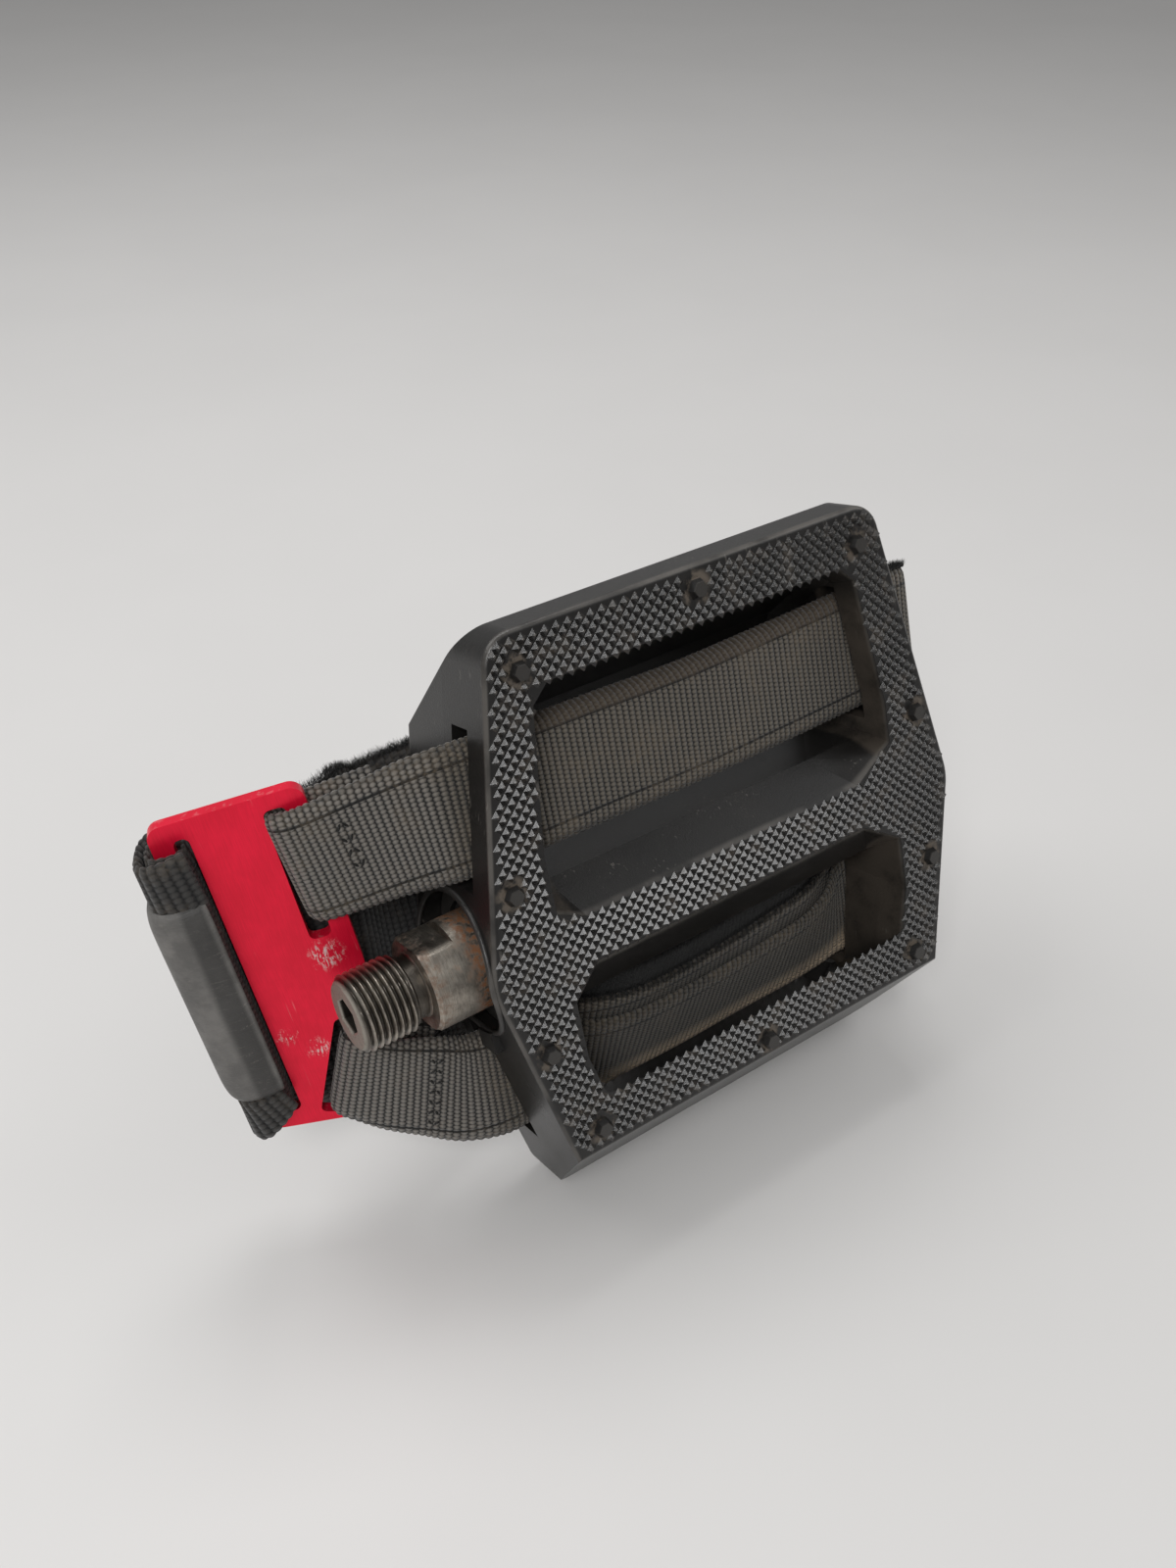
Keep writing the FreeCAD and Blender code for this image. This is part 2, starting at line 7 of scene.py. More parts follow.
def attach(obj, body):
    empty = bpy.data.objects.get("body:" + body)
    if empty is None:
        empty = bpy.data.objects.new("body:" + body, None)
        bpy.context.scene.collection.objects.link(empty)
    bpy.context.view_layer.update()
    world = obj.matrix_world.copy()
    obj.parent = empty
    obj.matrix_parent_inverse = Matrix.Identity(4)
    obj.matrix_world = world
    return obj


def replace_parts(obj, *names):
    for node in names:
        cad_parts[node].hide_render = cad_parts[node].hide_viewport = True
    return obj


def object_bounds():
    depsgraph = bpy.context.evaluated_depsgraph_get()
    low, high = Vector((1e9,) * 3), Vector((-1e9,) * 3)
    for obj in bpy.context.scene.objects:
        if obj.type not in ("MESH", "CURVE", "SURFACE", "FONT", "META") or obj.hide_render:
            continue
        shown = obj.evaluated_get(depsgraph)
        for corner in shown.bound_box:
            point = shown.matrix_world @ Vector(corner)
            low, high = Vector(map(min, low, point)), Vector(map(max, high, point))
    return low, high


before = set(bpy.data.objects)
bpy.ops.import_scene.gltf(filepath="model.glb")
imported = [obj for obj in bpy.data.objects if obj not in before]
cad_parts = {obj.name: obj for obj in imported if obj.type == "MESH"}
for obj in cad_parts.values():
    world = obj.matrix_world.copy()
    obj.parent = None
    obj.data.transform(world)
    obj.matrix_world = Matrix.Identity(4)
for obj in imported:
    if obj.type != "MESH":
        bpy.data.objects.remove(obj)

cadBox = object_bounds()
platformBody = "platform_group"
spindleBody = "spindle_group"

stance = {"lean": 19.0, "threadEnd": 63.2}  # degrees back; mm from the platform's middle to the origin
stanceTurn = Matrix.Rotation(math.radians(90 - stance["lean"]), 4, "X")
stanceMatrix = Matrix.Translation((stance["threadEnd"], 0, 0)) @ stanceTurn


def toRow(point):  # platform millimetres to row metres
    return (stanceMatrix @ Vector(point)) / 1000


# node graphs

def operation(kind, swapped=False):
    def apply(self, *others):
        return self.graph.calc(kind, *((*others, self) if swapped else (self, *others)))
    return apply


class Signal:  # a socket that takes part in sums
    def __init__(self, graph, socket):
        self.graph = graph
        self.socket = socket

    __add__, __radd__ = operation("ADD"), operation("ADD", swapped=True)
    __sub__, __rsub__ = operation("SUBTRACT"), operation("SUBTRACT", swapped=True)
    __mul__, __rmul__ = operation("MULTIPLY"), operation("MULTIPLY", swapped=True)
    __truediv__, __pow__ = operation("DIVIDE"), operation("POWER")
    __mod__, __abs__ = operation("FLOORED_MODULO"), operation("ABSOLUTE")


class Graph:  # nodes of a material or of a geometry recipe
    tree = None

    def node(self, kind, settings=None, inputs=None):
        made = self.tree.nodes.new(kind)
        for key, value in (settings or {}).items():
            setattr(made, key, value)
        for key, value in (inputs or {}).items():
            self.join(value, made.inputs[key])
        return made

    def join(self, value, socket):
        if isinstance(value, Signal):
            self.tree.links.new(value.socket, socket)
        else:
            socket.default_value = value

    def out(self, made, key=0):
        return Signal(self, made.outputs[key])

    def value(self, kind, settings=None, inputs=None, key=0):  # one output of a new node
        return self.out(self.node(kind, settings, inputs), key)

    def calc(self, kind, *terms):
        return self.value("ShaderNodeMath", {"operation": kind}, dict(enumerate(terms)))

    def least(self, first, *others):
        for other in others:
            first = self.calc("MINIMUM", first, other)
        return first

    def most(self, first, *others):
        for other in others:
            first = self.calc("MAXIMUM", first, other)
        return first

    def split(self, vector):
        made = self.node("ShaderNodeSeparateXYZ", None, {0: vector})
        return [self.out(made, axis) for axis in range(3)]

    def gather(self, across, along, up):
        return self.value("ShaderNodeCombineXYZ", None, {0: across, 1: along, 2: up})


class Finish(Graph):  # one procedural material
    def __init__(self, name, **plain):
        self.material = bpy.data.materials.new(name)
        self.material.use_nodes = True
        self.tree = self.material.node_tree
        self.shader = self.tree.nodes["Principled BSDF"]
        for key, value in plain.items():
            self.shader.inputs[key.replace("_", " ")].default_value = value

    def feed(self, **inputs):
        for key, value in inputs.items():
            self.join(value, self.shader.inputs[key.replace("_", " ")])
        return self.material

    def space(self, matrix):  # Object coordinates in millimetres of a piece's own frame
        inverse = matrix.inverted()
        return self.value("ShaderNodeMapping", {"vector_type": "POINT"}, {
            "Vector": self.value("ShaderNodeTexCoord", key="Object"), "Location": inverse.to_translation(),
            "Rotation": inverse.to_euler(), "Scale": (1000, 1000, 1000)})

    def cloth(self):  # the piece's own map: across and along, in millimetres
        return self.value("ShaderNodeUVMap", {"uv_map": "weave"})

    def grain(self, where, scale, detail=3.0, rough=0.55, warp=0.0):
        return self.value("ShaderNodeTexNoise", None, {
            "Vector": where, "Scale": scale, "Detail": detail, "Roughness": rough, "Distortion": warp})

    def stretch(self, where, scales):
        return self.value("ShaderNodeVectorMath", {"operation": "MULTIPLY"}, {0: where, 1: scales})

    def fade(self, value, low, high):  # 0 at low, 1 at high, smooth between
        return self.value("ShaderNodeMapRange", {"interpolation_type": "SMOOTHSTEP"}, {
            "Value": value, "From Min": low, "From Max": high})

    def within(self, value, start, full, last, end):  # rises from start to full, falls from last to end
        return self.fade(value, start, full) * self.fade(value, end, last)

    def tint(self, amount, first, second):
        made = self.node("ShaderNodeMix", {"data_type": "RGBA"}, {0: amount})
        for index, colour in ((6, first), (7, second)):
            self.join(colour if isinstance(colour, Signal) else (*colour, 1), made.inputs[index])
        return self.out(made, 2)

    def bump(self, height, depth, strength=1.0):
        return self.value("ShaderNodeBump", None, {"Height": height, "Distance": depth, "Strength": strength})

    def near(self, where, spot):
        return self.value("ShaderNodeVectorMath", {"operation": "DISTANCE"}, {0: where, 1: spot}, "Value")

    def scratches(self, where, angle, scale, keep):  # thin broken lines one way
        turned = self.value("ShaderNodeMapping", {"vector_type": "POINT"}, {
            "Vector": where, "Rotation": (0.0, 0.0, angle), "Scale": (scale, scale * 0.03, scale)})
        lines = self.grain(turned, 1.0, 2.0, 0.5, 0.3)
        patches = self.grain(where, 0.11, 2.0)
        return self.fade(lines, keep, keep + 0.03) * self.fade(patches, 0.52, 0.66)


class Recipe(Graph):  # a Geometry Nodes tree that is run once and left as a plain mesh
    def __init__(self, name, **sizes):
        self.tree = bpy.data.node_groups.new(name, "GeometryNodeTree")
        face = self.tree.interface
        face.new_socket("Geometry", in_out="INPUT", socket_type="NodeSocketGeometry")
        self.sockets = {}
        for key, value in sizes.items():
            kind = "NodeSocketInt" if isinstance(value, int) else "NodeSocketFloat"
            self.sockets[key] = (face.new_socket(key, in_out="INPUT", socket_type=kind).identifier, value)
        face.new_socket("Geometry", in_out="OUTPUT", socket_type="NodeSocketGeometry")
        self.entry = self.tree.nodes.new("NodeGroupInput")
        self.exit = self.tree.nodes.new("NodeGroupOutput")

    def size(self, key):
        return self.out(self.entry, key)

    def attribute(self, name, kind):
        return self.value("GeometryNodeInputNamedAttribute", {"data_type": kind}, {"Name": name}, "Attribute")

    def run(self, source, geometry, material):
        real = self.value("GeometryNodeRealizeInstances", None, {0: geometry})
        painted = self.value("GeometryNodeSetMaterial", None, {"Geometry": real, "Material": material})
        self.join(painted, self.exit.inputs[0])
        modifier = source.modifiers.new("recipe", "NODES")
        modifier.node_group = self.tree
        for identifier, value in self.sockets.values():
            modifier[identifier] = value
        solved = source.evaluated_get(bpy.context.evaluated_depsgraph_get())
        mesh = bpy.data.meshes.new_from_object(solved)
        source.modifiers.remove(modifier)
        old = source.data
        source.data = mesh
        bpy.data.meshes.remove(old)
        mesh.materials.clear()
        mesh.materials.append(material)
        return source


def addObject(name, data):
    made = bpy.data.objects.new(name, data)
    bpy.context.scene.collection.objects.link(made)
    return made


def addPiece(name, verts, faces, material=None):
    mesh = bpy.data.meshes.new(name)
    mesh.from_pydata([tuple(v) for v in verts], [], faces)
    mesh.shade_smooth()
    if material:
        mesh.materials.append(material)
    return addObject(name, mesh)


def ringFaces(rings, size):  # quads from each ring of points to the next
    faces = []
    for low in range(0, (rings - 1) * size, size):
        for k in range(size):
            after = (k + 1) % size
            faces.append((low + k, low + after, low + size + after, low + size + k))
    return faces


# sizes that finishes and pieces share, in millimetres

ribPitch = {"narrow": 1.23, "wide": 1.6}  # from rib to rib of the webbing
platform = {"half": 14.6, "slope": 0.664, "knurl": 0.6, "crankWall": (-54.0, -47.0),
            "windowWall": (34.5, 36.0, 40.5, 42.0), "windowEnd": (38.0, 44.0), "windowDepth": (-24.0, -16.0),
            "lowerWindow": (-12.0, -24.0), "upperWindow": (24.0, 30.0),
            "pin": {"crown": (1.3, 1.9), "dust": (2.4, 3.8), "top": 1.45},
            "pins": [(36, 51.5), (0, 54.2), (45.7, 15.6), (45.7, -15.6), (39, -34.6), (0, -36)]}
shaft = {"segments": 72, "pitch": 1.27, "start": -73.8, "threadEnd": -63.2, "shoulder": -60.8,
         "collarEnd": -47.5, "flatEnd": -54.3, "major": 7.14, "minor": 6.36, "neck": 5.7, "collar": 9.0,
         "flat": 7.5, "journal": 6.0, "journalEnd": 22.0, "seat": 4.0, "end": 36.0, "socket": 3.0,
         "socketDepth": 8.0, "chamfer": 1.2, "collarChamfer": 0.6, "ease": 0.3, "core": 0.05,
         "crest": 0.14, "flank": 0.72, "runout": 0.7, "ringsPerTurn": 10, "sharp": 32,
         "marks": ("start", "threadEnd", "shoulder", "flatEnd")}
plateStance = {"at": (-72.1, 28.2, -8.1), "turn": 20.0, "pitch": 10.0, "skew": 2.8, "half": 1.2}
plateMatrix = Matrix.Translation(plateStance["at"]) \
    @ Matrix.Rotation(-math.radians(plateStance["turn"]), 4, "Y") \
    @ Matrix.Rotation(math.radians(plateStance["pitch"]), 4, "X") \
    @ Matrix.Rotation(math.radians(plateStance["skew"]), 4, "Z")


# finishes

def mouldedPlastic(name, colours, knurled=False):
    made = Finish(name, Specular_IOR_Level=0.42)
    where = made.space(stanceMatrix)
    across, up, out = made.split(where)
    side, depth = abs(across), abs(out)
    half, pin = platform["half"], platform["pin"]
    cloudy = made.grain(where, 0.06, 4.0, 0.6)
    fine = made.grain(where, 2.6, 3.0, 0.6)
    pits = made.grain(where, 9.0, 2.0, 0.5)
    folded = made.gather(side, up * made.calc("SIGN", out), 0.0)  # both faces share one set of pin places
    toPin = made.least(*[made.near(folded, (*spot, 0.0)) for spot in platform["pins"]])
    onFace = made.within(depth, half - 1.0, half - 0.2, half + 0.1, half + 0.4)
    pinDust = (1 - made.fade(toPin, *pin["dust"])) * onFace \
        * made.fade(made.grain(where, 0.35, 4.0, 0.7), 0.42, 0.62)
    filmDust = made.fade(cloudy, 0.56, 0.74) * made.fade(fine, 0.45, 0.7)
    sideWall = made.within(side, *platform["windowWall"]) * (1 - made.fade(depth, half - 0.9, half - 0.4)) \
        * made.fade(abs(up - platform["slope"] * out), 44.0, 41.0)  # not on the sloping outer walls
    # window side walls: partly dust, partly painted light that tints them a lit brownish grey
    wallDustAndLight = sideWall * made.fade(cloudy + 0.3 * fine, 0.42, 0.74)
    dust = made.most(pinDust * colours["pinDust"], filmDust * colours["filmDust"],
                     wallDustAndLight * colours["wallDustAndLight"])
    base = made.tint(made.fade(cloudy, 0.3, 0.7), colours["dark"], colours["black"])
    # face rims tinted toward the worn colour: partly wear, partly a painted highlight along the edges
    rim = made.within(depth, half - 1.3, half - 0.5, half - 0.2, half - 0.02)
    base = made.tint(rim * made.fade(cloudy, 0.3, 0.6) * 0.5, base, colours["worn"])
    rough = 0.2 + 0.12 * cloudy + 0.1 * fine
    if knurled:
        rise = made.fade(depth, half + 0.05, half + platform["knurl"])
        valley = (1 - rise) * made.fade(made.grain(where, 0.22, 4.0, 0.65), 0.5, 0.68)
        dust = made.most(dust, valley * colours["valleyDust"])
        polish = made.fade(rise, 0.8, 1.0)
        base = made.tint(polish * 0.5, base, colours["worn"])
        rough = rough - 0.06 - 0.06 * polish
    marks = made.most(made.scratches(where, 0.5, 1.6, 0.66), made.scratches(where, 2.2, 1.2, 0.68))
    top = half + pin["top"]
    crown = (1 - made.fade(toPin, *pin["crown"])) * made.fade(depth, top - 0.25, top)
    base = made.tint(made.most(marks * colours["marks"], crown * 0.16), base, colours["worn"])
    base = made.tint(dust, base, colours["dust"])
    return made.feed(Base_Color=base, Roughness=rough + 0.35 * dust,
                     Normal=made.bump(fine * 0.6 + pits * 0.4, 0.00006 if knurled else 0.0001, 0.55))


def ribbedWebbing(name, weave):
    made = Finish(name, Specular_IOR_Level=0.25, Sheen_Weight=weave["sheen"], Sheen_Roughness=0.5)
    where = made.cloth()
    across, along, _ = made.split(where)
    fromMiddle, half = abs(across), weave["half"]
    row = along / weave["pitch"]
    odd = made.calc("FLOOR", row) % 2.0
    rib = abs(made.calc("SINE", row * math.pi))
    yarn = abs(made.calc("SINE", (across / weave["yarn"] + odd * 0.5) * math.pi))
    strand = made.grain(made.stretch(where, (2.2, 9.0, 1.0)), 1.0, 3.0, 0.6)
    seam = 1 - made.fade(abs(fromMiddle - (half - weave["seam"])), 0.12, 0.34)
    height = (rib * 0.45 + yarn * 0.35 + strand * 0.3) * (1 - 0.8 * seam)
    solid = made.space(stanceMatrix)
    side, up, out = made.split(solid)
    patchy = made.grain(solid, 0.09, 4.0, 0.6, 0.4)
    flecks = made.grain(solid, 0.9, 4.0, 0.75)
    inside = made.fade(side, *platform["crankWall"])  # painted shade: the crowns darker past the crank-side wall
    crown = made.tint(inside, weave["crown"], weave["shadedCrown"])
    # painted shade: the weave's low parts tinted toward the near-black deep colour, its raised parts toward
    # the crown colour
    base = made.tint(made.fade(height, 0.38, 0.92), weave["deep"], crown)
    selvedge = made.fade(fromMiddle, half - 1.6, half - 0.9)
    base = made.tint(selvedge * 0.5, base, weave["deep"])
    rim = made.fade(fromMiddle, half - 5.0, half - 0.5)
    dust = made.fade(patchy + 0.12 * rim, 0.44, 0.68) * made.fade(flecks, 0.36, 0.64) * weave["dust"]
    dust = dust * (1.15 - 0.6 * height)
    base = made.tint(dust, base, weave["dustColour"])
    if "hemColour" in weave:  # what the narrow straps show between the walls
        near, far = platform["windowEnd"]
        between = made.within(side, -far, -near, near, far) * made.fade(out, *platform["windowDepth"])
        hem = made.fade(across, -3.5, -9.5) * between * made.fade(up, *platform["lowerWindow"])
        stain = made.fade(patchy + 0.2 * flecks, 0.34, 0.6) * weave["hem"]
        base = made.tint(hem * stain, base, weave["hemColour"])
        fold = made.fade(across, 8.4, 9.0) * between * made.fade(up, *platform["upperWindow"])
        base = made.tint(fold * 0.7, base, weave["foldColour"])
    lint = made.fade(made.grain(made.stretch(where, (0.5, 3.0, 1.0)), 1.0, 5.0, 0.8), 0.69, 0.74)
    base = made.tint(lint * 0.35, base, weave["lint"])
    return made.feed(Base_Color=base, Roughness=0.78 - 0.18 * rib + 0.1 * dust,
                     Normal=made.bump(height, 0.0005, 0.8))


def softPile(name, dark, light):
    made = Finish(name, Specular_IOR_Level=0.12, Sheen_Weight=0.12, Sheen_Roughness=0.4)
    where = made.space(stanceMatrix)
    tuft = made.grain(where, 1.6, 5.0, 0.75)
    wisps = made.grain(made.stretch(where, (3.0, 0.9, 3.0)), 1.0, 4.0, 0.7)
    base = made.tint(made.fade(tuft * 0.6 + wisps * 0.4, 0.35, 0.7), dark, light)
    return made.feed(Base_Color=base, Roughness=0.9 - 0.1 * tuft,
                     Normal=made.bump(tuft + wisps, 0.0006, 0.8))


def redAnodised(name, paint):
    made = Finish(name, Specular_IOR_Level=0.3, Metallic=0.45, Coat_Roughness=0.22)
    where = made.space(stanceMatrix @ plateMatrix)
    across, up, out = made.split(where)
    brushed = made.grain(made.stretch(where, (9.0, 0.25, 9.0)), 1.0, 3.0, 0.6)
    cloudy = made.grain(where, 0.12, 3.0, 0.6)
    base = made.tint(made.fade(brushed * 0.5 + cloudy * 0.5, 0.35, 0.68), paint["deep"], paint["red"])
    ragged = made.grain(where, 0.9, 5.0, 0.75, 1.2)
    flat = made.gather(across, up, 0.0)
    worn = []
    for spot, reach in paint["scuffs"]:
        worn.append(1 - made.fade(made.near(flat, (*spot, 0.0)) + ragged * 5.0, reach, reach + 2.2))
    rubbed = made.grain(made.stretch(where, (1.8, 0.6, 1.0)), 1.0, 4.0, 0.7, 0.8)
    scuff = made.most(*worn) * made.fade(rubbed, 0.5, 0.6) * 0.85
    cutEdge = made.fade(abs(out), plateStance["half"], plateStance["half"] * 0.9)
    chips = cutEdge * made.fade(made.grain(where, 0.8, 4.0, 0.7), 0.56, 0.62)
    nicks = made.scratches(where, 0.9, 1.3, 0.69) * 0.3
    bare = made.most(scuff, chips * 0.12, nicks)
    base = made.tint(bare, base, paint["bare"])
    return made.feed(Base_Color=base, Roughness=0.3 + 0.14 * brushed + 0.2 * bare,
                     Coat_Weight=0.12 - 0.12 * bare,
                     Normal=made.bump(brushed * 0.7 + ragged * bare, 0.00003, 0.5))


def machinedSteel(name, metal):
    made = Finish(name, Metallic=1.0)
    where = made.space(stanceMatrix)
    across, up, out = made.split(where)
    turned = made.grain(made.stretch(where, (7.0, 0.6, 0.6)), 1.0, 3.0, 0.6)
    cloudy = made.grain(where, 0.3, 4.0, 0.65)
    grime = made.grain(where, 0.9, 5.0, 0.75)
    base = made.tint(made.fade(turned * 0.5 + cloudy * 0.5, 0.35, 0.68), metal["dark"], metal["light"])
    dirt = made.fade(grime, 0.5, 0.68) * metal["grime"]
    rough = 0.3 + 0.12 * turned + 0.2 * dirt
    shine = 1.0 - 0.25 * dirt
    if "rust" in metal:  # the spindle's own marks along its length, and painted shade in the thread valleys
        start, thread, shoulder, flatEnd = (shaft[key] for key in shaft["marks"])
        radius = (up * up + out * out) ** 0.5
        # painted shade: the thread valleys tinted dark; the neck is tinted dark too
        valley = made.fade(across, thread + 0.1, thread - 0.1) \
            * made.fade(radius, shaft["major"] - 0.14, shaft["minor"] + 0.14)
        neck = made.within(across, thread - 0.1, thread + 0.1, shoulder - 0.2, shoulder + 0.1)
        base = made.tint(made.most(valley * 0.8, neck * 0.75), base, metal["oilAndShade"])
        face = made.fade(across, start + 0.7, start + 0.2)  # the sawn end, duller than the rest
        base = made.tint(face * 0.5, base, metal["light"])
        base = made.tint(dirt, base, metal["oilAndShade"])
        belt = made.fade(across, flatEnd - 0.3, flatEnd + 2.5) * made.fade(grime, 0.36, 0.58)
        flats = made.fade(across, shoulder - 0.2, shoulder + 0.8) * made.fade(cloudy, 0.54, 0.7)
        rim = made.within(across, shoulder - 0.4, shoulder + 0.2, shoulder + 1.2, shoulder + 3.2) \
            * made.fade(grime, 0.4, 0.6)
        rust = made.most(belt, flats * 0.45, rim * 0.4)
        base = made.tint(rust, base, metal["rust"])
        rough = rough + 0.25 * rust + 0.2 * face
        shine = shine - 0.6 * rust - 0.45 * face
    else:
        base = made.tint(dirt, base, metal["oilAndShade"])
    return made.feed(Base_Color=base, Roughness=rough, Metallic=shine,
                     Normal=made.bump(turned + grime * 0.5, 0.00004, 0.5))


def sleeveRubber(name, gum):
    made = Finish(name, Specular_IOR_Level=0.45)
    where = made.space(stanceMatrix @ plateMatrix)
    across = made.split(where)[0]
    creases = made.grain(made.stretch(where, (0.35, 1.6, 0.35)), 1.0, 4.0, 0.6, 0.6)
    fine = made.grain(where, 3.5, 3.0, 0.6)
    cloudy = made.grain(where, 0.16, 4.0, 0.6)
    base = made.tint(made.fade(cloudy, 0.35, 0.68), gum["dark"], gum["grey"])
    # painted shade: a dark band on the sleeve beside the plate, tinted with the grime colour
    shadeBesidePlate = made.fade(across + 1.6 * cloudy, -20.2, -18.6) * made.fade(across, -15.8, -16.8)
    base = made.tint(shadeBesidePlate * 0.75, base, gum["grime"])
    dusty = made.fade(creases, 0.55, 0.7) * made.fade(fine, 0.4, 0.7) * 0.5
    base = made.tint(dusty, base, gum["dust"])
    return made.feed(Base_Color=base, Roughness=0.46 + 0.14 * cloudy + 0.1 * dusty,
                     Normal=made.bump(creases * 0.8 + fine * 0.2, 0.0004, 0.6))


plasticColours = {
    "black": (0.0125, 0.0115, 0.0108), "dark": (0.0075, 0.007, 0.0066), "worn": (0.15, 0.138, 0.124),
    "dust": (0.15, 0.122, 0.095), "pinDust": 0.7, "filmDust": 0.1, "marks": 0.4,
    "valleyDust": 0.3, "wallDustAndLight": 0.32}
coverColours = {**plasticColours, "black": (0.030, 0.028, 0.026), "dark": (0.018, 0.017, 0.016)}
strapWeave = {
    "pitch": ribPitch["narrow"], "yarn": 0.85, "half": 12.0, "seam": 3.4, "sheen": 0.2,
    "dust": 0.32, "hem": 0.95, "deep": (0.006, 0.0055, 0.005), "crown": (0.19, 0.174, 0.155),
    "shadedCrown": (0.125, 0.109, 0.088), "dustColour": (0.19, 0.145, 0.095), "hemColour": (0.44, 0.34, 0.235),
    "foldColour": (0.062, 0.046, 0.032), "lint": (0.3, 0.28, 0.26)}
footWeave = {
    "pitch": ribPitch["wide"], "yarn": 1.2, "half": 28.5, "seam": 3.4, "sheen": 0.12, "dust": 0.3,
    "deep": (0.006, 0.006, 0.006), "crown": (0.04, 0.039, 0.038), "shadedCrown": (0.032, 0.031, 0.031),
    "dustColour": (0.15, 0.12, 0.09), "lint": (0.25, 0.24, 0.22)}
cuffWeave = {**footWeave, "half": 6.0, "seam": 9.0, "dust": 0.35,
             "crown": (0.04, 0.038, 0.036), "shadedCrown": (0.035, 0.034, 0.032)}
finishes = {
    "platform": mouldedPlastic("moulded plastic", plasticColours),
    "knurl": mouldedPlastic("knurled plastic", plasticColours, knurled=True),
    "cover": mouldedPlastic("cover plastic", coverColours),
    "webbing": ribbedWebbing("ribbed webbing", strapWeave),
    "footWebbing": ribbedWebbing("foot webbing", footWeave),
    "cuff": ribbedWebbing("cuff webbing", cuffWeave),
    "pile": softPile("soft pile", (0.004, 0.004, 0.004), (0.024, 0.023, 0.022)),
    "hookTape": softPile("hook tape", (0.004, 0.004, 0.004), (0.014, 0.0135, 0.013)),
    "thread": softPile("sewing thread", (0.006, 0.006, 0.006), (0.025, 0.023, 0.02)),
    "plate": redAnodised("red anodised", {
        "red": (0.88, 0.009, 0.046), "deep": (0.72, 0.006, 0.032), "bare": (0.75, 0.66, 0.64),
        "scuffs": [((-1.0, -21.2), 4.0), ((-12.6, -36.0), 2.5), ((-8.0, -40.5), 3.0)]}),
    "spindle": machinedSteel("spindle steel", {
        "dark": (0.24, 0.215, 0.185), "light": (0.47, 0.43, 0.37), "oilAndShade": (0.035, 0.030, 0.026),
        "rust": (0.20, 0.085, 0.035), "grime": 0.35}),
    "bearing": machinedSteel("bearing steel", {
        "dark": (0.42, 0.42, 0.42), "light": (0.6, 0.6, 0.59), "oilAndShade": (0.1, 0.09, 0.07), "grime": 0.25}),
    "bush": machinedSteel("bush brass", {
        "dark": (0.42, 0.28, 0.10), "light": (0.62, 0.44, 0.18), "oilAndShade": (0.12, 0.09, 0.05), "grime": 0.3}),
    # for sleeve and seal, the grime colour is painted shade beside the plate
    "sleeve": sleeveRubber("sleeve rubber", {
        "dark": (0.095, 0.091, 0.086), "grey": (0.155, 0.148, 0.139), "dust": (0.22, 0.20, 0.18),
        "grime": (0.018, 0.017, 0.016)}),
    "seal": sleeveRubber("seal rubber", {
        "dark": (0.010, 0.010, 0.010), "grey": (0.022, 0.022, 0.022), "dust": (0.05, 0.045, 0.04),
        "grime": (0.012, 0.012, 0.012)}),
}
print("finishes ready:", len(finishes))

cadFinishes = {"pedal_body": "platform", "bearing_cap": "cover", "end_cap": "cover", "seal_ring": "seal",
               "inner_bush": "bush", "bearing_outer_race": "bearing", "bearing_inner_race": "bearing",
               "bearing_balls": "bearing", "lock_washer": "bearing", "lock_nut": "bearing",
               "strap_plate": "plate"}
for nodeName, finishName in cadFinishes.items():
    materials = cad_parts[nodeName].data.materials
    materials.clear()
    materials.append(finishes[finishName])
print("solids painted:", len(cadFinishes))


# knurl

knurl = {"pitch": 2.21, "base": 1.08, "tip": 0.16, "sink": 0.02, "rim": 1.25, "windowRim": 0.3, "pinRim": 2.7,
         "outline": [(53.07, 0), (40.87, 58.37), (-40.87, 58.37), (-53.07, 0), (-44.94, -39), (44.94, -39)],
         "windows": [[(-33.1, 6), (29.6, 6), (38.6, 11.8), (38.6, 20), (34.3, 48.3), (-34.3, 48.3),
                      (-38.6, 20), (-38.6, 8.75)],
                     [(-33.1, -2.8), (29.6, -2.8), (38.6, -8.6), (38.6, -20), (36.45, -29.5),
                      (-36.45, -29.5), (-38.6, -20), (-38.6, -8.3)]]}


def signedGap(point, corners):  # distance to a polygon's edge, positive inside
    inside = False
    least = 1e9
    for index, (ax, ay) in enumerate(corners):
        bx, by = corners[(index + 1) % len(corners)]
        if (ay > point[1]) != (by > point[1]) and point[0] < (bx - ax) * (point[1] - ay) / (by - ay) + ax:
            inside = not inside
        run = Vector((bx - ax, by - ay))
        share = max(0.0, min(1.0, (Vector(point) - Vector((ax, ay))).dot(run) / run.length_squared))
        least = min(least, (Vector((ax, ay)) + run * share - Vector(point)).length)
    return least if inside else -least


def knurlPlaces():
    half = knurl["pitch"] / 2
    pins = [(side * x, y) for x, y in platform["pins"] for side in (1, -1)]
    rows = math.ceil(max(abs(value) for corner in knurl["outline"] for value in corner) / half)
    columns = math.ceil(rows / 2)  # rows stand at half the pitch
    places = []
    for row in range(-rows, rows + 1):
        for column in range(-columns, columns + 1):
            spot = (column * knurl["pitch"] + (half if row % 2 else 0.0), row * half)
            if signedGap(spot, knurl["outline"]) < knurl["rim"]:
                continue
            if any(signedGap(spot, window) > -knurl["windowRim"] for window in knurl["windows"]):
                continue
            if min(math.dist(spot, pin) for pin in pins) < knurl["pinRim"]:
                continue
            places.append(spot)
    return places


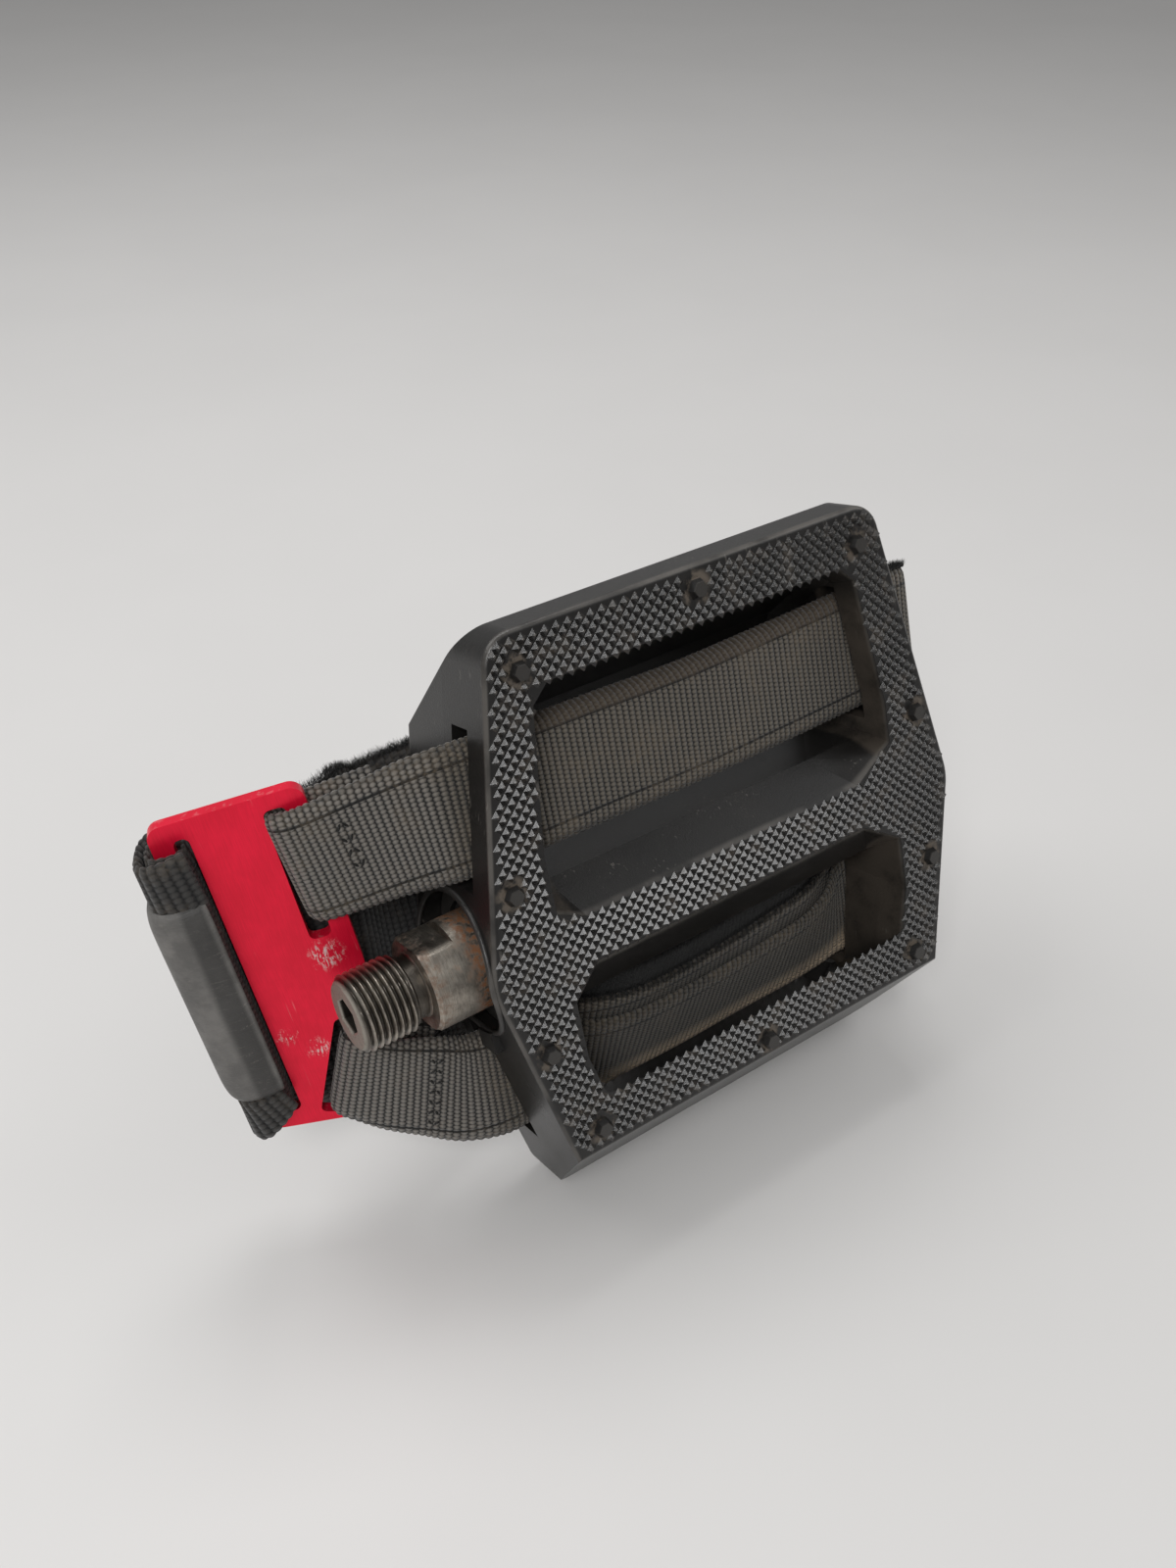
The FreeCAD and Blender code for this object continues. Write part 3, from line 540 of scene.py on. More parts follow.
def makeKnurl():
    flat = knurlPlaces()
    verts = []
    turns = []
    lean = math.radians(90 - stance["lean"])
    for side in (1, -1):  # the same after half a turn about the spindle
        for x, y in flat:
            verts.append(toRow((x, side * y, side * (platform["half"] - knurl["sink"]))))
            turns.append(lean if side > 0 else lean + math.pi)
    piece = addPiece("platform_knurl", verts, [])
    heading = piece.data.attributes.new("heading", "FLOAT", "POINT")
    heading.data.foreach_set("value", turns)
    recipe = Recipe("knurl", Base=knurl["base"] / 1000, Tip=knurl["tip"] / 1000,
                    Height=platform["knurl"] / 1000)
    dots = recipe.value("GeometryNodeMeshToPoints", None, {0: recipe.size("Geometry")})
    cone = recipe.value("GeometryNodeMeshCone", {"fill_type": "NGON"}, {
        "Vertices": 4, "Radius Top": recipe.size("Tip"), "Radius Bottom": recipe.size("Base"),
        "Depth": recipe.size("Height")})
    angle = recipe.gather(recipe.attribute("heading", "FLOAT"), 0.0, 0.0)
    turn = recipe.value("FunctionNodeEulerToRotation", None, {0: angle})
    copies = recipe.value("GeometryNodeInstanceOnPoints", None, {
        "Points": dots, "Instance": cone, "Rotation": turn})
    recipe.run(piece, copies, finishes["knurl"])
    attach(piece, platformBody)
    print("knurl pyramids:", len(turns))


makeKnurl()

bead = {"middle": 53.4, "slope": 0.2085, "crest": 2.4, "radius": 13.75, "tube": 0.55,
        "turns": 96, "sides": 12}


def makeBead():  # the rounded lip of the recess round the spindle
    verts, faces = [], []
    for step in range(bead["turns"]):
        swing = 2 * math.pi * step / bead["turns"]
        for side in range(bead["sides"]):
            roll = 2 * math.pi * side / bead["sides"]
            reach = bead["radius"] + bead["tube"] * math.cos(roll)
            up, out = reach * math.cos(swing), reach * math.sin(swing)
            wall = bead["slope"] * math.hypot(up, bead["crest"]) - bead["middle"]
            verts.append(toRow((wall - bead["tube"] * math.sin(roll), up, out)))
            after, beside = (step + 1) % bead["turns"], (side + 1) % bead["sides"]
            faces.append((step * bead["sides"] + side, after * bead["sides"] + side,
                          after * bead["sides"] + beside, step * bead["sides"] + beside))
    piece = addPiece("recess_lip", verts, faces, finishes["cover"])
    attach(piece, platformBody)


makeBead()


# webbing

stationsPerRib = 6
webbing = {"gap": 0.35, "thick": 1.8, "width": 24.0, "doubled": 14.0, "ribPitch": ribPitch["narrow"],
           "ribHeight": 0.24, "cuts": 16, "turnSteps": 6, "slotMid": 29.3, "slotLevel": 5.6,
           "tailDepth": 45.5, "tailEnd": -4.0, "square": 0.4}  # square: how far cross ribs turn to the run
upDirection = Vector((0, 1, 0))
plateUp = plateMatrix.to_3x3() @ upDirection


def onPlate(across, up, out):  # plate millimetres to platform millimetres
    return plateMatrix @ Vector((across, up, out))


def smoothPath(stations, step):  # evenly spaced (centre, across, width, curl) along a soft curve
    rows = [(*centre, *across, width, curl) for centre, across, width, curl in stations]
    first = [2 * a - b for a, b in zip(rows[0], rows[1])]
    last = [2 * a - b for a, b in zip(rows[-1], rows[-2])]
    rows = [first, *rows, last]
    knots = [0.0]
    for before, after in zip(rows, rows[1:]):
        knots.append(knots[-1] + max(math.dist(before[:3], after[:3]), 1e-4) ** 0.5)

    def between(a, b, ta, tb, t):
        return [(tb - t) / (tb - ta) * x + (t - ta) / (tb - ta) * y for x, y in zip(a, b)]

    dense = []
    parts = 16
    for i in range(1, len(rows) - 2):
        p0, p1, p2, p3 = rows[i - 1:i + 3]
        t0, t1, t2, t3 = knots[i - 1:i + 3]
        for part in range(parts):
            t = t1 + (t2 - t1) * part / parts
            a1, a2, a3 = between(p0, p1, t0, t1, t), between(p1, p2, t1, t2, t), between(p2, p3, t2, t3, t)
            b1, b2 = between(a1, a2, t0, t2, t), between(a2, a3, t1, t3, t)
            dense.append(between(b1, b2, t1, t2, t))
    dense.append(rows[-2])
    runs = [0.0]
    for before, after in zip(dense, dense[1:]):
        runs.append(runs[-1] + math.dist(before[:3], after[:3]))
    count = max(8, round(runs[-1] / step))
    even = []
    index = 0
    for part in range(count + 1):
        goal = runs[-1] * part / count
        while index < len(runs) - 2 and runs[index + 1] < goal:
            index += 1
        share = (goal - runs[index]) / max(runs[index + 1] - runs[index], 1e-9)
        row = [a + (b - a) * share for a, b in zip(dense[index], dense[index + 1])]
        even.append((Vector(row[:3]), Vector(row[3:6]), row[6], row[7], goal))
    return even


def frameAlong(stations, step, square=1.0):  # turns even stations to their run and adds the way out
    even = smoothPath(stations, step)
    frames = []
    for index, (centre, across, width, curl, along) in enumerate(even):
        run = (even[min(index + 1, len(even) - 1)][0] - even[max(index - 1, 0)][0]).normalized()
        lay = (across - run * (across.dot(run) * square)).normalized()
        frames.append((centre, lay, run.cross(lay).normalized(), width, curl, along))
    return frames


def makeBand(name, frames, thick, cuts):  # a closed strip with rounded selvedges and a curled far edge
    shares = [-1 + 2 * k / cuts for k in range(cuts + 1)]
    ring = [(u, 0.5 * (1 - 0.75 * abs(u) ** 14)) for u in shares]
    ring += [(u, -h) for u, h in reversed(ring)]
    size = len(ring)
    verts, marks = [], []
    for centre, across, out, width, curl, along in frames:
        for u, h in ring:
            bend = max(0.0, (u - 0.62) / 0.38) ** 2 * curl
            reach = u * width / 2 - 0.45 * abs(bend)
            verts.append(toRow(centre + across * reach + out * (h * thick - bend)))
            marks.append((u * width / 2, along))
    faces = ringFaces(len(frames), size)
    end = (len(frames) - 1) * size
    for k in range(cuts):
        faces.append((k, size - 1 - k, size - 2 - k, k + 1))
        faces.append((end + k, end + k + 1, end + size - 2 - k, end + size - 1 - k))
    piece = addPiece(name, verts, faces)
    weave = piece.data.uv_layers.new(name="weave")
    for loop in piece.data.loops:
        weave.data[loop.index].uv = marks[loop.vertex_index]
    along = piece.data.attributes.new("along", "FLOAT", "POINT")
    along.data.foreach_set("value", [mark[1] for mark in marks])
    work = bmesh.new()
    work.from_mesh(piece.data)
    if work.calc_volume(signed=True) < 0:
        bmesh.ops.reverse_faces(work, faces=work.faces)
        work.to_mesh(piece.data)
    work.free()
    return piece


def ribBand(piece, pitch, height, material):  # raised cross ribs
    recipe = Recipe(piece.name + "_ribs", Pitch=pitch, Height=height / 1000)
    row = recipe.attribute("along", "FLOAT") / recipe.size("Pitch")
    lift = (abs(recipe.calc("SINE", row * math.pi)) - 0.5) * recipe.size("Height")
    normal = recipe.value("GeometryNodeInputNormal")
    offset = recipe.value("ShaderNodeVectorMath", {"operation": "SCALE"}, {0: normal, "Scale": lift})
    raised = recipe.value("GeometryNodeSetPosition", None, {
        "Geometry": recipe.size("Geometry"), "Offset": offset})
    return recipe.run(piece, raised, material)


def strapStations(strap):
    lift = plateStance["half"] + webbing["gap"] + webbing["thick"] / 2
    inward = strap["inward"]
    along = Vector((math.cos(strap["lean"]), math.sin(strap["lean"])))
    across = plateMatrix.to_3x3() @ Vector((-along.y, along.x, 0))
    barX, barY = strap["bar"]

    def place(run, out):
        slide = strap["slide"]
        return onPlate(barX + along.x * run - along.y * slide, barY + along.y * run + along.x * slide, out)

    turnPath = [(webbing["doubled"], -lift), (webbing["doubled"] / 2, -lift), (0.0, -lift)]
    for part in range(1, webbing["turnSteps"]):
        swing = math.pi * part / webbing["turnSteps"]
        turnPath.append((-inward * math.sin(swing) ** 0.8, -lift * math.cos(swing)))
    turnPath.append((0.0, lift + strap["bulge"]))
    rows = [(place(run, out), across, strap["fold"], 0.0) for run, out in turnPath]
    for part, (x, y, z, bridgeWidth, curl) in enumerate(strap["bridge"], start=1):
        turned = across.lerp(upDirection, part / (len(strap["bridge"]) + 1))
        rows.append((Vector((x, y, z)), turned, bridgeWidth, curl))
    mid, level = strap["side"] * webbing["slotMid"], strap["side"] * webbing["slotLevel"]
    wide = webbing["width"]
    for x, dy, dz, tip, curl in strap["window"]:
        rows.append((Vector((x, mid + dy, level + dz)), Vector((0, 1, tip)).normalized(), wide, curl))
    depth = webbing["tailDepth"]
    loop = [(55.2, 0.03, level - 1.6), (58.2, 0.11, level - 6.5), (58.5, 0.26, level - 14.5),
            (55.7, 0.57, 19 - depth), (48.2, 0.79, 9 - depth), (36.7, 0.92, 2 - depth),
            (27.7, 0.98, 0.2 - depth), (20.7, 1.0, -depth), (8.0, 1.0, -depth),
            (webbing["tailEnd"], 1.0, -depth)]
    rows += [(Vector((x, mid - strap["drop"] * share, z)), upDirection, wide, 0.0) for x, share, z in loop]
    return rows


straps = {
    "upper": {
        "bar": (2.95, -4.05), "lean": math.radians(4), "side": 1, "fold": 22.6, "drop": 25.3, "inward": 4.3,
        "slide": 1.8, "bulge": 0.1,
        "bridge": [(-60.0, 27.6, 0.1, 23.2, 0.0), (-54.0, 28.7, 3.3, 24.0, 0.0)],
        "window": [
            (-49.2, 0.0, 0.0, 0.0, 0.0), (-39.0, -0.2, 0.3, 0.0, 1.2), (-20.0, -0.4, 0.6, 0.02, 2.6),
            (0.0, -0.8, 0.7, 0.04, 3.0), (20.0, -0.4, 0.6, 0.02, 2.6), (38.0, -0.1, 0.2, 0.0, 1.0),
            (49.2, 0.0, 0.0, 0.0, 0.0)]},
    "lower": {
        "bar": (-2.79, -47.26), "lean": -math.radians(23), "side": -1, "fold": 18.2, "drop": 4.9,
        "inward": 3.0, "slide": -1.8, "bulge": 0.6,
        "bridge": [
            (-67.0, -22.6, -10.6, 20.0, 0.0), (-60.5, -25.3, -7.8, 21.5, 1.0),
            (-54.0, -28.4, -6.3, 22.5, 2.2)],
        "window": [
            (-48.2, 0.0, 0.2, 0.06, 0.8), (-40.0, -0.4, 0.1, 0.1, 0.0), (-35.5, -2.6, 0.7, 0.26, 0.0),
            (-30.0, -4.2, 1.6, 0.46, 0.0), (-22.0, -5.0, 2.1, 0.6, 0.0), (-6.0, -5.4, 2.2, 0.62, 0.0),
            (10.0, -4.9, 2.2, 0.6, 0.0), (24.0, -4.4, 1.9, 0.52, 0.0), (32.0, -3.0, 1.2, 0.36, 0.0),
            (37.0, -1.1, 0.3, 0.16, 0.0), (41.0, -0.2, 0.1, 0.06, 0.0), (49.2, 0.0, 0.1, 0.0, 0.0)]},
}


def makeCloth(name, frames, cloth, width, finish, node=None):  # a ribbed band
    piece = makeBand(name, frames, cloth["thick"], cloth["cuts"])
    ribBand(piece, cloth["ribPitch"], cloth["ribHeight"], finishes[finish])
    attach(piece, platformBody)
    if node:
        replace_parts(piece, node)
    print(piece.name, "flat mm:", width, "x", round(frames[-1][5], 1))
    return frames


def makeStrap(label):
    step = webbing["ribPitch"] / stationsPerRib
    frames = frameAlong(strapStations(straps[label]), step, webbing["square"])
    return makeCloth(label + "_webbing", frames, webbing, webbing["width"], "webbing",
                     label + "_strap")


strapFrames = {label: makeStrap(label) for label in straps}

backing = {
    "width": 23.0, "thick": 1.6, "cuts": 14, "ribPitch": ribPitch["narrow"], "ribHeight": 0.24,
    "rows": [
        (-46.0, -28.7, -7.5, 0.02), (-39.5, -28.6, -7.4, 0.04), (-35.0, -28.8, -6.9, 0.18),
        (-30.0, -29.8, -5.9, 0.4), (-20.0, -31.2, -5.5, 0.58), (-10.0, -31.7, -5.7, 0.6),
        (3.0, -30.9, -5.3, 0.6), (14.0, -29.5, -4.6, 0.58), (25.0, -29.0, -4.8, 0.48),
        (33.0, -28.7, -6.4, 0.24), (38.5, -28.8, -7.3, 0.05), (46.0, -28.8, -7.5, 0.02)]}


def makeBacking():  # the second layer inside the lower window
    rows = []
    for x, y, z, tip in backing["rows"]:
        rows.append((Vector((x, y, z)), Vector((0, 1, tip)).normalized(), backing["width"], 0.0))
    frames = frameAlong(rows, backing["ribPitch"] / stationsPerRib)
    return makeCloth("lower_backing", frames, backing, backing["width"], "webbing")


backingFrames = makeBacking()

shadePileTape = {"reach": 37.0, "rise": 3.4, "tipRise": 6.8, "behind": 1.35, "thick": 0.9, "cuts": 14,
            "ribPitch": 1.0, "ribHeight": 0.2}


def makeShadePileTape():  # the dark tape sewn behind the second layer, standing past its upper edge: partly a pile lining, partly a dark sheet put as painted shade in the gap under the beam
    frames = []
    for centre, across, out, width, curl, along in backingFrames:
        if abs(centre.x) < shadePileTape["reach"]:
            rise = shadePileTape["rise"] + shadePileTape["tipRise"] * across.z
            shifted = centre + across * rise - out * shadePileTape["behind"]
            frames.append((shifted, across, out, width, curl, along))
    start = frames[0][5]
    frames = [(*station[:5], station[5] - start) for station in frames]
    return makeCloth("lower_shade_pile_tape", frames, shadePileTape, backing["width"], "hookTape")


shadeTapeFrames = makeShadePileTape()

foot = {
    "thick": 1.8, "width": 58.5, "slot": -16.2, "left": -22.25, "middle": -21.85, "cuts": 18,
    "ribPitch": ribPitch["wide"], "ribHeight": 0.2, "lift": 2.45, "under": 4.6, "square": 0.35,
    "hang": {"plate": 6.8, "loop": (6.0, 4.5, 2.5)},  # the lower edge hangs lower behind the plate
    "loop": [
        (-56.7, 4.8, -20.0), (-48.2, 4.4, -22.3), (-41.2, 3.2, -25.0), (-35.2, 0.0, -30.8),
        (-30.2, -5.0, -37.5), (-24.2, -8.5, -41.4), (-18.2, -9.5, -42.0), (0.0, -9.5, -42.0),
        (19.7, -9.5, -42.0), (28.7, -9.0, -41.0), (42.7, -9.0, -35.0), (50.7, -8.0, -27.0),
        (54.2, -6.0, -18.5)]}


def footStations():
    lift, under, slot, left = foot["lift"], foot["under"], foot["slot"], foot["left"]
    path = [(slot + 3.4, -lift), (slot + 1.6, -lift), (slot + 0.2, -lift * 0.6), (slot, 0.0),
            (slot - 0.2, lift * 0.6), (slot - 1.6, lift), (left + 3.0, lift + 0.1), (left + 1.0, lift * 0.85),
            (left, lift * 0.3), (left, -lift * 0.6), (left + 0.7, -under * 0.85), (left + 2.6, -under)]
    rows = [(onPlate(run, foot["middle"], out), plateUp, foot["width"], 0.0) for run, out in path]
    hang = foot["hang"]["plate"]
    for run, out in ((slot, -under), (-6.0, -under - 0.3), (4.0, -under - 1.0)):
        rows.append((onPlate(run, foot["middle"] - hang / 2, out), plateUp, foot["width"] + hang, 0.0))
    for index, spot in enumerate(foot["loop"]):
        hang = foot["hang"]["loop"][index] if index < len(foot["hang"]["loop"]) else 0.0
        rows.append((Vector(spot) - upDirection * (hang / 2), upDirection, foot["width"] + hang, 0.0))
    return rows


footFrames = frameAlong(footStations(), foot["ribPitch"] / stationsPerRib, foot["square"])
makeCloth("foot_webbing", footFrames, foot, foot["width"], "footWebbing",
          "foot_strap")

cuffs = {
    "thick": 1.5, "slot": -15.6, "left": -24.0, "cuts": 10, "ribPitch": ribPitch["wide"], "ribHeight": 0.2,
    # tops and bottoms, at the slot and at the left
    "ends": {"upper_cuff": ((8.5, 7.2), (-2.8, -2.8)), "lower_cuff": ((-44.0, -44.0), (-49.4, -55.2))},
    "path": [
        (-15.6, 3.9), (-17.4, 4.5), (-19.8, 4.55), (-22.0, 4.05), (-23.5, 2.7), (-24.0, 0.8),
        (-24.0, -1.8), (-23.5, -4.5), (-22.3, -6.2), (-20.0, -6.85), (-15.0, -7.0)]}


def makeCuffs():  # the roll's outer turn, seen past both ends of the sleeve
    for name, (tops, bottoms) in cuffs["ends"].items():
        rows = []
        for run, out in cuffs["path"]:
            share = (run - cuffs["slot"]) / (cuffs["left"] - cuffs["slot"])
            top, bottom = (ends[0] + (ends[1] - ends[0]) * share for ends in (tops, bottoms))
            rows.append((onPlate(run, (top + bottom) / 2, out), plateUp, top - bottom, 0.0))
        frames = frameAlong(rows, cuffs["ribPitch"] / stationsPerRib)
        width = round(max(tops) - min(bottoms), 2)
        makeCloth(name, frames, cuffs, width, "cuff")


makeCuffs()

sleeve = {
    "top": -1.5, "bottom": -44.0, "thick": 2.4, "step": 0.5, "cuts": 40,
    "path": [
        (-15.9, 4.4), (-17.6, 5.0), (-20.2, 5.05), (-22.6, 4.6), (-24.3, 3.2), (-24.9, 1.0),
        (-24.9, -2.0), (-24.5, -5.1), (-23.1, -7.0), (-20.6, -7.8), (-16.2, -7.8)]}


def makeSleeve():
    middle = (sleeve["top"] + sleeve["bottom"]) / 2
    width = sleeve["top"] - sleeve["bottom"]
    rows = [(onPlate(run, middle, out), plateUp, width, 0.0) for run, out in sleeve["path"]]
    piece = makeBand("grip_tube", frameAlong(rows, sleeve["step"]), sleeve["thick"], sleeve["cuts"])
    piece.data.materials.append(finishes["sleeve"])
    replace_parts(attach(piece, platformBody), "grip_sleeve")
    print("sleeve made")


makeSleeve()

hooks = {"width": 24.0, "length": 22.0, "thick": 1.0, "depth": 43.75, "start": -4.0, "step": 0.5, "cuts": 40,
         "ribPitch": 1.0, "ribHeight": 0.3, "stations": 4, "middles": {"upper": 4.0, "lower": -34.2}}


def makeHookTapes():
    for label, middle in hooks["middles"].items():
        rows = []
        for part in range(hooks["stations"] + 1):
            x = hooks["start"] + hooks["length"] * part / hooks["stations"]
            rows.append((Vector((x, middle, -hooks["depth"])), upDirection, hooks["width"], 0.0))
        makeCloth(label + "_hook_tape", frameAlong(rows, hooks["step"]), hooks, hooks["width"], "hookTape",
                  label + "_hook_patch")


makeHookTapes()


# pile: short fibres standing on narrow strips

pile = {"length": 1.7, "shortest": 0.35, "root": 0.055, "tip": 0.012, "density": 2.4e7, "spread": 0.75}


def makePile(name, edge, seed):  # edge: pairs of points in platform millimetres, the fibres' side up
    verts = []
    for first, second in edge:
        verts += [toRow(first), toRow(second)]
    faces = [(2 * k, 2 * k + 2, 2 * k + 3, 2 * k + 1) for k in range(len(edge) - 1)]
    piece = addPiece(name, verts, faces)
    recipe = Recipe(name, Density=pile["density"], Root=pile["root"] / 1000, Tip=pile["tip"] / 1000,
                    Length=pile["length"] / 1000, Seed=seed)
    dots = recipe.node("GeometryNodeDistributePointsOnFaces", None, {
        "Mesh": recipe.size("Geometry"), "Density": recipe.size("Density"), "Seed": recipe.size("Seed")})
    fibre = recipe.value("GeometryNodeMeshCone", {"fill_type": "NONE"}, {
        "Vertices": 3, "Radius Top": recipe.size("Tip"), "Radius Bottom": recipe.size("Root"),
        "Depth": recipe.size("Length")})
    lean = recipe.value("FunctionNodeRandomValue", {"data_type": "FLOAT_VECTOR"}, {
        0: (-pile["spread"], -pile["spread"], -math.pi), 1: (pile["spread"], pile["spread"], math.pi),
        "Seed": recipe.size("Seed")})
    turn = recipe.value("FunctionNodeEulerToRotation", None, {0: lean})
    aim = recipe.value("FunctionNodeRotateRotation", {"rotation_space": "LOCAL"}, {
        0: recipe.out(dots, "Rotation"), 1: turn})
    length = recipe.value("FunctionNodeRandomValue", {"data_type": "FLOAT"}, {
        2: pile["shortest"], 3: 1.0, "Seed": recipe.size("Seed") + 7.0}, 1)
    copies = recipe.value("GeometryNodeInstanceOnPoints", None, {
        "Points": recipe.out(dots), "Instance": fibre, "Rotation": aim, "Scale": length})
    recipe.run(piece, copies, finishes["pile"])
    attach(piece, platformBody)
    print(name, "fibre faces:", len(piece.data.polygons))


def edgeStrip(frames, low, high, share, thick):  # a strip along one edge of a band
    strip = []
    for centre, across, out, width, _, along in frames[::stationsPerRib]:
        if low <= along <= high:
            rim = centre + across * (share * width / 2)
            strip.append((rim + out * (thick / 2), rim - out * (thick / 2)))
    return strip


loopStart = next(station[5] for station in strapFrames["upper"] if station[0].x > 50)
pileEdges = {  # band, start and end along it, share of its half width, strip width, seed
    "foot_pile": (footFrames, 31.0, footFrames[-1][5] - 2, 0.99, 2.6, 3),
    "backing_pile": (backingFrames, 8.0, backingFrames[-1][5] - 8, 0.985, 2.2, 5),
    "shade_tape_pile": (shadeTapeFrames, 2.0, shadeTapeFrames[-1][5] - 2, 0.985, 1.6, 11),
    "loop_pile": (strapFrames["upper"], loopStart, loopStart + 34, 0.99, 2.2, 8),
}
for pileName, (*edge, seed) in pileEdges.items():
    makePile(pileName, edgeStrip(*edge), seed)


# stitches: rows of thread across the sewn ends

stitch = {"length": 2.0, "radius": 0.26, "flat": 0.8, "gap": 2.3, "proud": 0.19, "rowGap": 1.3,
          "slant": 0.5,  # rows: past the fold, between two shares of the half width
          "rows": {"upper": (11.0, -0.3, 0.6), "lower": (17.0, -0.75, 0.7)}}


def makeStitches(name, frames, rows, thick):
    verts, turns = [], []
    for along, low, high, slant in rows:
        centre, across, out, width, _, _ = min(frames, key=lambda station: abs(station[5] - along))
        run = across.cross(out)
        count = max(1, round((high - low) * width / 2 / stitch["gap"]))
        for part in range(count):
            share = low + (high - low) * (part + 0.5) / count
            lay = (across + run * (slant if part % 2 else -slant)).normalized()
            frameTurn = Matrix((out.cross(lay), lay, out)).transposed()
            verts.append(toRow(centre + across * (share * width / 2) + out * (thick / 2 + stitch["proud"])))
            turns.append((stanceTurn.to_3x3() @ frameTurn).to_euler()[:])
    piece = addPiece(name, verts, [])
    aim = piece.data.attributes.new("aim", "FLOAT_VECTOR", "POINT")
    aim.data.foreach_set("vector", [value for turn in turns for value in turn])
    recipe = Recipe(name, Radius=stitch["radius"] / 1000, Stretch=stitch["length"] / stitch["radius"] / 2)
    dots = recipe.value("GeometryNodeMeshToPoints", None, {0: recipe.size("Geometry")})
    grain = recipe.value("GeometryNodeMeshUVSphere", None, {
        "Segments": 8, "Rings": 6, "Radius": recipe.size("Radius")})
    turn = recipe.value("FunctionNodeEulerToRotation", None, {0: recipe.attribute("aim", "FLOAT_VECTOR")})
    copies = recipe.value("GeometryNodeInstanceOnPoints", None, {
        "Points": dots, "Instance": grain, "Rotation": turn,
        "Scale": recipe.gather(1.0, recipe.size("Stretch"), stitch["flat"])})
    recipe.run(piece, copies, finishes["thread"])
    piece.data.shade_smooth()
    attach(piece, platformBody)
    print(name, len(turns))


def foldAlong(frames):  # the length at which a strap turns round its bar
    return min(frames, key=lambda station: station[0].x)[5]


for label, (past, low, high) in stitch["rows"].items():
    frames = strapFrames[label]
    front = foldAlong(frames) + past
    sewn = [(front, low, high, stitch["slant"]), (front + stitch["rowGap"], low, high, -stitch["slant"])]
    makeStitches(label + "_stitches", frames, sewn, webbing["thick"])


# spindle: turned, with its thread cut

def threadRadius(x, angle):
    phase = (x / shaft["pitch"] - angle / (2 * math.pi)) % 1.0
    tooth = min(1.0, max(0.0, (abs(phase - 0.5) * 2 - shaft["crest"]) / shaft["flank"]))
    fade = min(1.0, max(0.0, (shaft["threadEnd"] - x) / shaft["runout"]))
    lead = shaft["major"] - max(0.0, shaft["chamfer"] - (x - shaft["start"]))
    return min(shaft["minor"] + (shaft["major"] - shaft["minor"]) * tooth * fade, lead)


def shaftRings():
    count = shaft["segments"]
    angles = [2 * math.pi * k / count for k in range(count)]
    start, threadEnd, shoulder, flatEnd = (shaft[key] for key in shaft["marks"])
    collar, collarEnd, neck, ease = (shaft[key] for key in ("collar", "collarEnd", "neck", "ease"))
    hexagon = [shaft["socket"] / math.cos((angle % (math.pi / 3)) - math.pi / 6) for angle in angles]

    def plain(x, radius):
        return [(x, radius)] * count

    def flatted(x, radius):  # a round with two flats
        return [(x, min(radius, shaft["flat"] / max(abs(math.cos(angle)), 1e-6))) for angle in angles]

    floor, bevel = start + shaft["socketDepth"], shaft["collarChamfer"]
    rings = [plain(floor, shaft["core"]), [(floor, radius) for radius in hexagon],
             [(start + ease, radius) for radius in hexagon], [(start, radius + ease) for radius in hexagon]]
    steps = round((threadEnd - start) / shaft["pitch"] * shaft["ringsPerTurn"])
    for step in range(steps + 1):
        x = start + (threadEnd - start) * step / steps
        rings.append([(x, threadRadius(x, angle)) for angle in angles])
    rings += [plain(threadEnd + 0.25, neck), plain(shoulder - ease, neck), plain(shoulder, neck + ease),
              flatted(shoulder, collar - bevel), flatted(shoulder + bevel, collar),
              flatted(flatEnd, collar), plain(flatEnd + 0.02, collar), plain(collarEnd - ease, collar),
              plain(collarEnd, collar - ease), plain(collarEnd, shaft["journal"]),
              plain(shaft["journalEnd"], shaft["journal"]), plain(shaft["journalEnd"], shaft["seat"]),
              plain(shaft["end"] - shaft["chamfer"], shaft["seat"]),
              plain(shaft["end"], shaft["seat"] - shaft["chamfer"]), plain(shaft["end"], shaft["core"])]
    return angles, rings


def makeSpindle():
    angles, rings = shaftRings()
    count = len(angles)
    verts = [toRow((x, radius * math.cos(angle), radius * math.sin(angle)))
             for ring in rings for angle, (x, radius) in zip(angles, ring)]
    faces = [tuple(reversed(range(count))), tuple(range(len(verts) - count, len(verts)))]
    faces += ringFaces(len(rings), count)
    piece = addPiece("spindle_turned", verts, faces, finishes["spindle"])
    work = bmesh.new()
    work.from_mesh(piece.data)
    bmesh.ops.recalc_face_normals(work, faces=work.faces)
    work.to_mesh(piece.data)
    work.free()
    piece.data.set_sharp_from_angle(angle=math.radians(shaft["sharp"]))
    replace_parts(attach(piece, spindleBody), "spindle")
    print("spindle rings:", len(rings))


makeSpindle()


# floor, light and camera

